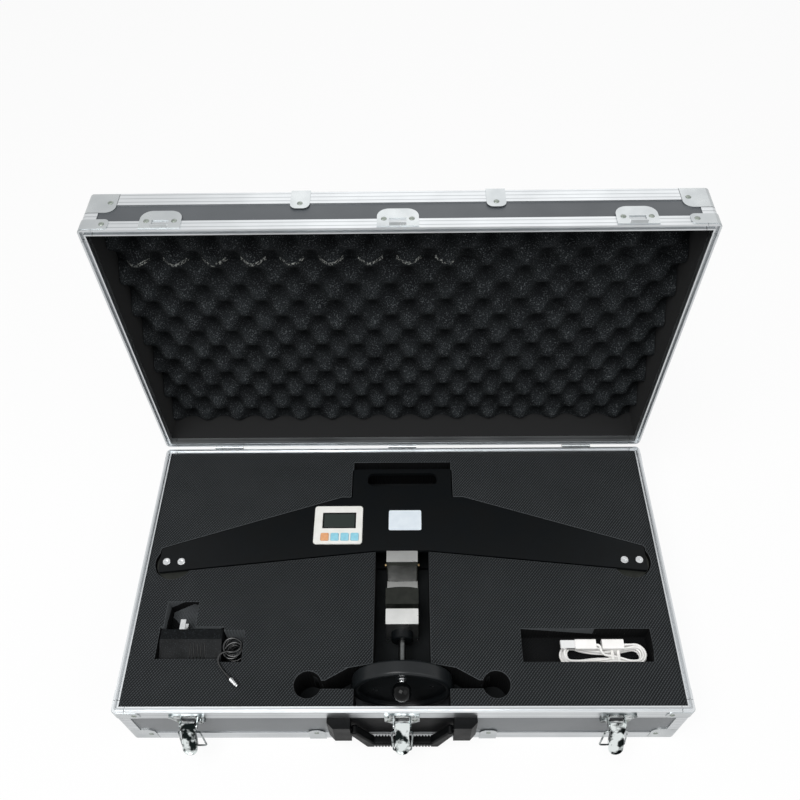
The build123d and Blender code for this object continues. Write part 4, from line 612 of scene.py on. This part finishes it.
def eggCrateTree():
    tree, given = newTree("eggCrateFoam", [
        ("Width", "NodeSocketFloat"), ("Height", "NodeSocketFloat"), ("Thickness", "NodeSocketFloat"),
        ("Across", "NodeSocketFloat"), ("Up", "NodeSocketFloat"), ("Relief", "NodeSocketFloat"),
        ("Waver", "NodeSocketFloat"),
        ("Columns", "NodeSocketInt"), ("Rows", "NodeSocketInt"),
        ("Middle", "NodeSocketVector"), ("Finish", "NodeSocketMaterial")])
    size = addNode(tree, "ShaderNodeCombineXYZ", None,
                   {0: given["Width"], 1: given["Thickness"], 2: given["Height"]})
    slab = addNode(tree, "GeometryNodeMeshCube", None,
                   {"Size": size.outputs[0], "Vertices X": given["Columns"], "Vertices Y": 2,
                    "Vertices Z": given["Rows"]})
    place = addNode(tree, "GeometryNodeInputPosition").outputs[0]
    moved = addNode(tree, "ShaderNodeVectorMath", {"operation": "ADD"}, {0: place, 1: given["Middle"]})
    axes = addNode(tree, "ShaderNodeSeparateXYZ", None, {0: moved.outputs[0]})
    waves = []
    for axis, label in ((0, "Across"), (2, "Up")):
        turnsPerMetre = addNode(tree, "ShaderNodeMath", {"operation": "DIVIDE"}, {0: 2 * pi, 1: given[label]})
        phase = addNode(tree, "ShaderNodeMath", {"operation": "MULTIPLY"},
                        {0: axes.outputs[axis], 1: turnsPerMetre.outputs[0]})
        waves.append(addNode(tree, "ShaderNodeMath", {"operation": "SINE"}, {0: phase.outputs[0]}).outputs[0])
    product = addNode(tree, "ShaderNodeMath", {"operation": "MULTIPLY"}, {0: waves[0], 1: waves[1]})
    level = addNode(tree, "ShaderNodeMapRange", None,
                    {"Value": product.outputs[0], "From Min": -1.0, "From Max": 1.0})
    drop = addNode(tree, "ShaderNodeMath", {"operation": "MULTIPLY"}, {0: level.outputs[0], 1: given["Relief"]})
    cloud = addNode(tree, "ShaderNodeTexNoise", None, {"Vector": moved.outputs[0], "Scale": 1 / 0.07, "Detail": 1.0})
    sag = addNode(tree, "ShaderNodeMath", {"operation": "MULTIPLY"}, {0: cloud.outputs[0], 1: given["Waver"]})
    total = addNode(tree, "ShaderNodeMath", {"operation": "ADD"}, {0: drop.outputs[0], 1: sag.outputs[0]})
    offset = addNode(tree, "ShaderNodeCombineXYZ", None, {1: total.outputs[0]})
    own = addNode(tree, "ShaderNodeSeparateXYZ", None, {0: place})
    front = addNode(tree, "FunctionNodeCompare", {"data_type": "FLOAT", "operation": "LESS_THAN"},
                    {0: own.outputs[1], 1: 0.0})
    shaped = addNode(tree, "GeometryNodeSetPosition", None,
                     {"Geometry": slab.outputs[0], "Selection": front.outputs[0], "Offset": offset.outputs[0]})
    carried = addNode(tree, "GeometryNodeTransform", None,
                      {"Geometry": shaped.outputs[0], "Translation": given["Middle"]})
    real = addNode(tree, "GeometryNodeRealizeInstances", None, {"Geometry": carried.outputs[0]})
    dressed = addNode(tree, "GeometryNodeSetMaterial", None,
                      {"Geometry": real.outputs[0], "Material": given["Finish"]})
    addNode(tree, "NodeGroupOutput", None, {0: dressed.outputs[0]})
    return tree


# The two pieces share the solids' space, with the seam on the latches' side

foamTree = eggCrateTree()
sheetBox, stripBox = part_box("lid_foam_sheet"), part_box("lid_foam_strip")
foamLow = Vector(min(pair) for pair in zip(sheetBox[0], stripBox[0]))
foamHigh = Vector(max(pair) for pair in zip(sheetBox[1], stripBox[1]))
seam, joint = eggCrate["seam"] * mm, eggCrate["joint"] * mm
for name, bottom, top, nodes in (
        ("eggCrateSheet", foamLow.z, seam - joint / 2, ("lid_foam_sheet", "lid_foam_strip")),
        ("eggCrateStrip", seam + joint / 2, foamHigh.z, ("lid_foam_sheet",))):
    low, high = foamLow.copy(), foamHigh.copy()
    low.z, high.z = bottom, top
    size = high - low
    mesh = growMesh(foamTree, {
        "Width": size.x, "Height": size.z, "Thickness": size.y,
        "Across": eggCrate["across"] * mm, "Up": eggCrate["up"] * mm, "Relief": eggCrate["relief"] * mm,
        "Waver": eggCrate["waver"] * mm,
        "Columns": round(size.x / mm / eggCrate["cell"]) + 1, "Rows": round(size.z / mm / eggCrate["cell"]) + 1,
        "Middle": tuple((low + high) / 2), "Finish": openFoam})
    mesh.polygons.foreach_set("use_smooth", [True] * len(mesh.polygons))
    mesh.set_sharp_from_angle(angle=radians(eggCrate["edgeSharp"]))
    piece = newPiece(name, mesh, "case_lid")
    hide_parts(*nodes)
print("egg-crate foam grown")

# Foam layers: the die leaves a slightly rounded lip around every opening

foamLip = {"round": 0.7, "segments": 2, "crease": 25}


def softLayer(node, name, finish):
    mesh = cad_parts[node].data.copy()
    work = bmesh.new()
    work.from_mesh(mesh)
    bmesh.ops.remove_doubles(work, verts=work.verts, dist=0.01 * mm)
    top = max(v.co.z for v in work.verts)
    lips = [e for e in work.edges
            if all(abs(v.co.z - top) < 0.01 * mm for v in e.verts)
            and len(e.link_faces) == 2 and e.calc_face_angle() > radians(40)]
    bmesh.ops.bevel(work, geom=lips, offset=foamLip["round"] * mm, offset_type="OFFSET",
                    segments=foamLip["segments"], profile=0.5, affect="EDGES", clamp_overlap=False)
    bmesh.ops.triangulate(work, faces=work.faces)
    work.to_mesh(mesh)
    work.free()
    mesh.polygons.foreach_set("use_smooth", [True] * len(mesh.polygons))
    mesh.set_sharp_from_angle(angle=radians(foamLip["crease"]))
    piece = newPiece(name, mesh, "case_base", finish)
    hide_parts(node)
    return piece


softLayer("foam_top", "foamTopLayer", hatchedFoam)
softLayer("foam_bottom", "foamBottomLayer", plainFoam)
print("foam layers softened")

# Rivets: low domes on the caps, braces, clips, plates and hinge leaves

rivet = {"radius": 3.0, "height": 0.8, "sides": 14, "rings": 6}


def rivetTree():
    tree, given = newTree("rivets", [
        ("Points", "NodeSocketGeometry"), ("Radius", "NodeSocketFloat"), ("Height", "NodeSocketFloat"),
        ("Sides", "NodeSocketInt"), ("Rings", "NodeSocketInt"), ("Finish", "NodeSocketMaterial")])
    ball = addNode(tree, "GeometryNodeMeshUVSphere", None,
                   {"Segments": given["Sides"], "Rings": given["Rings"], "Radius": 1.0})
    squash = addNode(tree, "ShaderNodeCombineXYZ", None,
                     {0: given["Radius"], 1: given["Radius"], 2: given["Height"]})
    head = addNode(tree, "GeometryNodeTransform", None, {"Geometry": ball.outputs[0], "Scale": squash.outputs[0]})
    facing = addNode(tree, "GeometryNodeInputNamedAttribute", {"data_type": "FLOAT_VECTOR"}, {"Name": "facing"})
    turn = addNode(tree, "FunctionNodeAlignRotationToVector", {"axis": "Z"}, {"Vector": facing.outputs[0]})
    spread = addNode(tree, "GeometryNodeInstanceOnPoints", None,
                     {"Points": given["Points"], "Instance": head.outputs[0], "Rotation": turn.outputs[0]})
    real = addNode(tree, "GeometryNodeRealizeInstances", None, {"Geometry": spread.outputs[0]})
    smooth = addNode(tree, "GeometryNodeSetShadeSmooth", None, {"Geometry": real.outputs[0]})
    dressed = addNode(tree, "GeometryNodeSetMaterial", None,
                      {"Geometry": smooth.outputs[0], "Material": given["Finish"]})
    addNode(tree, "NodeGroupOutput", None, {0: dressed.outputs[0]})
    return tree


case = {"halfWidth": 320.0, "halfDepth": 180.0, "baseTop": 92.0, "lidMouth": 182.5, "lidMiddle": 274.5,
        "trim": 0.8, "plate": 1.2}
latchStations = (-238.0, 0.0, 238.0)
hingeStations = (-235.0, 0.0, 235.0)


def baseRivets():
    places = []
    front, back = (0, -1, 0), (0, 1, 0)
    for side, out in ((-1, front), (1, back)):
        wall = side * case["halfDepth"]
        for x in (-295.0, 295.0):
            places.append(((x, wall, 16.0), out))
        for x in (-296.6, 296.6):
            places.append(((x, wall + side * case["trim"], case["baseTop"] - 9), out))
        for x in (-100.0, 100.0):
            places.append(((x, wall + side * case["trim"], 21.0), out))
    for x in (-1, 1):
        for y in (-155.0, 155.0):
            places.append(((x * case["halfWidth"], y, 16.0), (x, 0, 0)))
            places.append(((x * (case["halfWidth"] + case["trim"]), y * 1.01, case["baseTop"] - 9), (x, 0, 0)))
    for station in latchStations:
        reach, drop = (14.0, 24.0) if station == 0 else (12.0, 27.0)
        for side in (-1, 1):
            places.append(((station + side * reach, -case["halfDepth"] - case["plate"],
                            case["baseTop"] - drop), front))
    for station in hingeStations:
        for side in (-1, 1):
            places.append(((station + side * 12, case["halfDepth"] + case["plate"], 75.0), back))
    return places


def lidRivets():
    places = []
    mouth = case["lidMouth"]
    for side in (-1, 1):
        wall = case["lidMiddle"] + side * case["halfDepth"]
        out = (0, 0, side)
        for x in (-295.0, 295.0):
            places.append(((x, mouth + 44, wall), out))
        for x in (-296.6, 296.6):
            places.append(((x, mouth + 9, wall + side * case["trim"]), out))
        for x in (-100.0, 100.0):
            places.append(((x, mouth + 39, wall + side * case["trim"]), out))
    for x in (-1, 1):
        for z in (-155.0, 155.0):
            places.append(((x * case["halfWidth"], mouth + 44, case["lidMiddle"] + z), (x, 0, 0)))
            places.append(((x * (case["halfWidth"] + case["trim"]), mouth + 9,
                            case["lidMiddle"] + z * 1.01), (x, 0, 0)))
    top = case["lidMiddle"] + case["halfDepth"] + case["plate"]
    for station in latchStations:
        for side in (-1, 1):
            places.append(((station + side * 14, mouth + 12.5, top), (0, 0, 1)))
    for station in hingeStations:
        for side in (-1, 1):
            places.append(((station + side * 12, 200.0, 93.3), (0, 0, -1)))
    return places


headTree = rivetTree()
for name, body, places in (("baseRivets", "case_base", baseRivets()), ("lidRivets", "case_lid", lidRivets())):
    points = bpy.data.meshes.new("rivetPlaces")
    points.from_pydata([Vector(place) * mm for place, _ in places], [], [])
    facing = points.attributes.new("facing", "FLOAT_VECTOR", "POINT")
    for i, (_, out) in enumerate(places):
        facing.data[i].vector = out
    mesh = growMesh(headTree, {"Radius": rivet["radius"] * mm, "Height": rivet["height"] * mm,
                               "Sides": rivet["sides"], "Rings": rivet["rings"], "Finish": rivetAlloy}, points)
    newPiece(name, mesh, body)
    print(name, len(places))

# Blank label plate beside the display, with rounded corners

label = {"low": (-17.0, 52.0), "high": (24.4, 81.5), "under": 90.0, "thickness": 0.3, "corner": 2.0, "arc": 6}


def labelMesh():
    work = bmesh.new()
    outline = []
    corners = [(1, 1, 0), (0, 1, 90), (0, 0, 180), (1, 0, 270)]
    for right, back, start in corners:
        x = (label["high"][0] - label["corner"]) if right else (label["low"][0] + label["corner"])
        y = (label["high"][1] - label["corner"]) if back else (label["low"][1] + label["corner"])
        for i in range(label["arc"] + 1):
            angle = radians(start + 90 * i / label["arc"])
            outline.append((x + label["corner"] * cos(angle), y + label["corner"] * sin(angle)))
    verts = [work.verts.new(Vector((x, y, label["under"])) * mm) for x, y in outline]
    face = work.faces.new(verts)
    raised = bmesh.ops.extrude_face_region(work, geom=[face])
    lifted = [v for v in raised["geom"] if isinstance(v, bmesh.types.BMVert)]
    bmesh.ops.translate(work, verts=lifted, vec=(0, 0, label["thickness"] * mm))
    bmesh.ops.recalc_face_normals(work, faces=work.faces)
    mesh = bpy.data.meshes.new("labelPlate")
    work.to_mesh(mesh)
    work.free()
    return mesh


newPiece("labelPlate", labelMesh(), "tester", labelFilm)

# Ribs on the adapter's sloping face, each a bar with a rounded back

ribs = {"count": 5, "pitch": 4.2, "width": 1.9, "height": 0.55, "middle": -238.0, "back": -95.5,
        "front": -113.5, "shoulder": 13.0, "slant": 10.0, "sides": 7}


def ribTree():
    tree, given = newTree("adapterRibs", [
        ("Count", "NodeSocketInt"), ("Pitch", "NodeSocketVector"), ("Start", "NodeSocketVector"),
        ("Size", "NodeSocketVector"), ("Slope", "NodeSocketVector"), ("Sides", "NodeSocketInt"),
        ("Finish", "NodeSocketMaterial")])
    row = addNode(tree, "GeometryNodeMeshLine", None,
                  {"Count": given["Count"], "Start Location": given["Start"], "Offset": given["Pitch"]})
    bar = addNode(tree, "GeometryNodeMeshUVSphere", None,
                  {"Segments": given["Sides"], "Rings": given["Sides"], "Radius": 1.0})
    shaped = addNode(tree, "GeometryNodeTransform", None, {"Geometry": bar.outputs[0], "Scale": given["Size"]})
    turn = addNode(tree, "FunctionNodeEulerToRotation", None, {0: given["Slope"]})
    spread = addNode(tree, "GeometryNodeInstanceOnPoints", None,
                     {"Points": row.outputs[0], "Instance": shaped.outputs[0], "Rotation": turn.outputs[0]})
    real = addNode(tree, "GeometryNodeRealizeInstances", None, {"Geometry": spread.outputs[0]})
    smooth = addNode(tree, "GeometryNodeSetShadeSmooth", None, {"Geometry": real.outputs[0]})
    dressed = addNode(tree, "GeometryNodeSetMaterial", None,
                      {"Geometry": smooth.outputs[0], "Material": given["Finish"]})
    addNode(tree, "NodeGroupOutput", None, {0: dressed.outputs[0]})
    return tree


def ribMesh():
    low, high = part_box("adapter_body")
    shoulder = high.y - ribs["shoulder"] * mm
    slope = atan2(ribs["slant"] * mm, shoulder - low.y)
    y = (ribs["back"] + ribs["front"]) / 2 * mm
    z = high.z - (shoulder - y) * tan(slope)
    first = (ribs["middle"] - (ribs["count"] - 1) / 2 * ribs["pitch"]) * mm
    return growMesh(ribTree(), {
        "Count": ribs["count"], "Pitch": (ribs["pitch"] * mm, 0, 0), "Start": (first, y, z),
        "Size": (ribs["width"] / 2 * mm, (ribs["back"] - ribs["front"]) / 2 / cos(slope) * mm,
                 ribs["height"] * mm),
        "Slope": (slope, 0, 0), "Sides": 2 * ribs["sides"], "Finish": phenolic})


newPiece("adapterRibs", ribMesh(), "adapter")

# Two ties hold the hank: flat bands that follow its rounded outline

tie = {"places": (243.5, 250.5), "width": 3.4, "thickness": 0.4, "low": (-116.0, 64.0), "high": (-97.0, 76.4),
       "corner": 3.0, "arc": 6}


def tieMesh():
    work = bmesh.new()
    for centre in tie["places"]:
        rings = []
        corners = [(1, 1, 0), (0, 1, 90), (0, 0, 180), (1, 0, 270)]
        for right, top, start in corners:
            y = (tie["high"][0] - tie["corner"]) if right else (tie["low"][0] + tie["corner"])
            z = (tie["high"][1] - tie["corner"]) if top else (tie["low"][1] + tie["corner"])
            for i in range(tie["arc"] + 1):
                angle = radians(start + 90 * i / tie["arc"])
                ring = []
                for x, reach in ((-1, 0), (1, 0), (1, 1), (-1, 1)):
                    radius = tie["corner"] + reach * tie["thickness"]
                    ring.append(work.verts.new(Vector((centre + x * tie["width"] / 2,
                                                       y + radius * cos(angle), z + radius * sin(angle))) * mm))
                rings.append(ring)
        for ring, following in zip(rings, rings[1:] + rings[:1]):
            for i in range(4):
                j = (i + 1) % 4
                work.faces.new((ring[i], ring[j], following[j], following[i]))
    bmesh.ops.recalc_face_normals(work, faces=work.faces)
    mesh = bpy.data.meshes.new("hankTies")
    work.to_mesh(mesh)
    work.free()
    return mesh


newPiece("hankTies", tieMesh(), "data_cable", tieSkin)
print("label and ties made")

# Floor, backdrop and lamps: plain soft studio light on white

studio = {
    "floorHalf": 9.0,
    "floorColour": "#f0f0f0",
    "floorGlow": 0.9,
    "sky": 0.3,
    "lamps": [  # place in metres, aim, width, watts
        ("key", (-0.5, -0.75, 2.3), 1.5, 46.0),
        ("fill", (1.6, -0.8, 1.7), 1.8, 12.0),
        ("rear", (0.2, 2.2, 1.6), 1.8, 7.0),
    ],
    "aim": (0.0, 0.05, 0.1),
}


def whiteRays(tree):
    path = addNode(tree, "ShaderNodeLightPath")
    shown = addNode(tree, "ShaderNodeMath", {"operation": "MAXIMUM"},
                    {0: path.outputs["Is Camera Ray"], 1: path.outputs["Is Glossy Ray"]})
    return addNode(tree, "ShaderNodeMath", {"operation": "MAXIMUM"},
                   {0: shown.outputs[0], 1: path.outputs["Is Transmission Ray"]}).outputs[0]


def makeStudio():
    half = studio["floorHalf"]
    mesh = bpy.data.meshes.new("floor")
    mesh.from_pydata([(-half, -half, 0), (half, -half, 0), (half, half, 0), (-half, half, 0)], [], [(0, 1, 2, 3)])
    floor = bpy.data.objects.new("floor", mesh)
    scene.collection.objects.link(floor)
    material = bpy.data.materials.new("paperSweep")
    material.use_nodes = True
    tree = material.node_tree
    tree.nodes.clear()
    paper = addNode(tree, "ShaderNodeBsdfDiffuse", None, {"Color": linear(studio["floorColour"])})
    glow = addNode(tree, "ShaderNodeEmission", None, {"Color": (1, 1, 1, 1), "Strength": 1.0})
    share = addNode(tree, "ShaderNodeMath", {"operation": "MULTIPLY"}, {0: whiteRays(tree), 1: studio["floorGlow"]})
    mixed = addNode(tree, "ShaderNodeMixShader", None,
                    {0: share.outputs[0], 1: paper.outputs[0], 2: glow.outputs[0]})
    addNode(tree, "ShaderNodeOutputMaterial", None, {"Surface": mixed.outputs[0]})
    mesh.materials.append(material)
    world = bpy.data.worlds.new("studio")
    world.use_nodes = True
    scene.world = world
    tree = world.node_tree
    tree.nodes.clear()
    level = addNode(tree, "ShaderNodeMix", None, {0: whiteRays(tree), 2: studio["sky"], 3: 1.0})
    sky = addNode(tree, "ShaderNodeBackground", None, {"Color": (1, 1, 1, 1), "Strength": level.outputs[0]})
    addNode(tree, "ShaderNodeOutputWorld", None, {"Surface": sky.outputs[0]})
    for name, place, width, watts in studio["lamps"]:
        lamp = bpy.data.lights.new(name, "AREA")
        lamp.shape = "SQUARE"
        lamp.size = width
        lamp.energy = watts
        holder = bpy.data.objects.new(name, lamp)
        scene.collection.objects.link(holder)
        holder.location = place
        aim = Vector(studio["aim"]) - Vector(place)
        holder.rotation_euler = aim.to_track_quat("-Z", "Y").to_euler()


makeStudio()
print("studio lit")
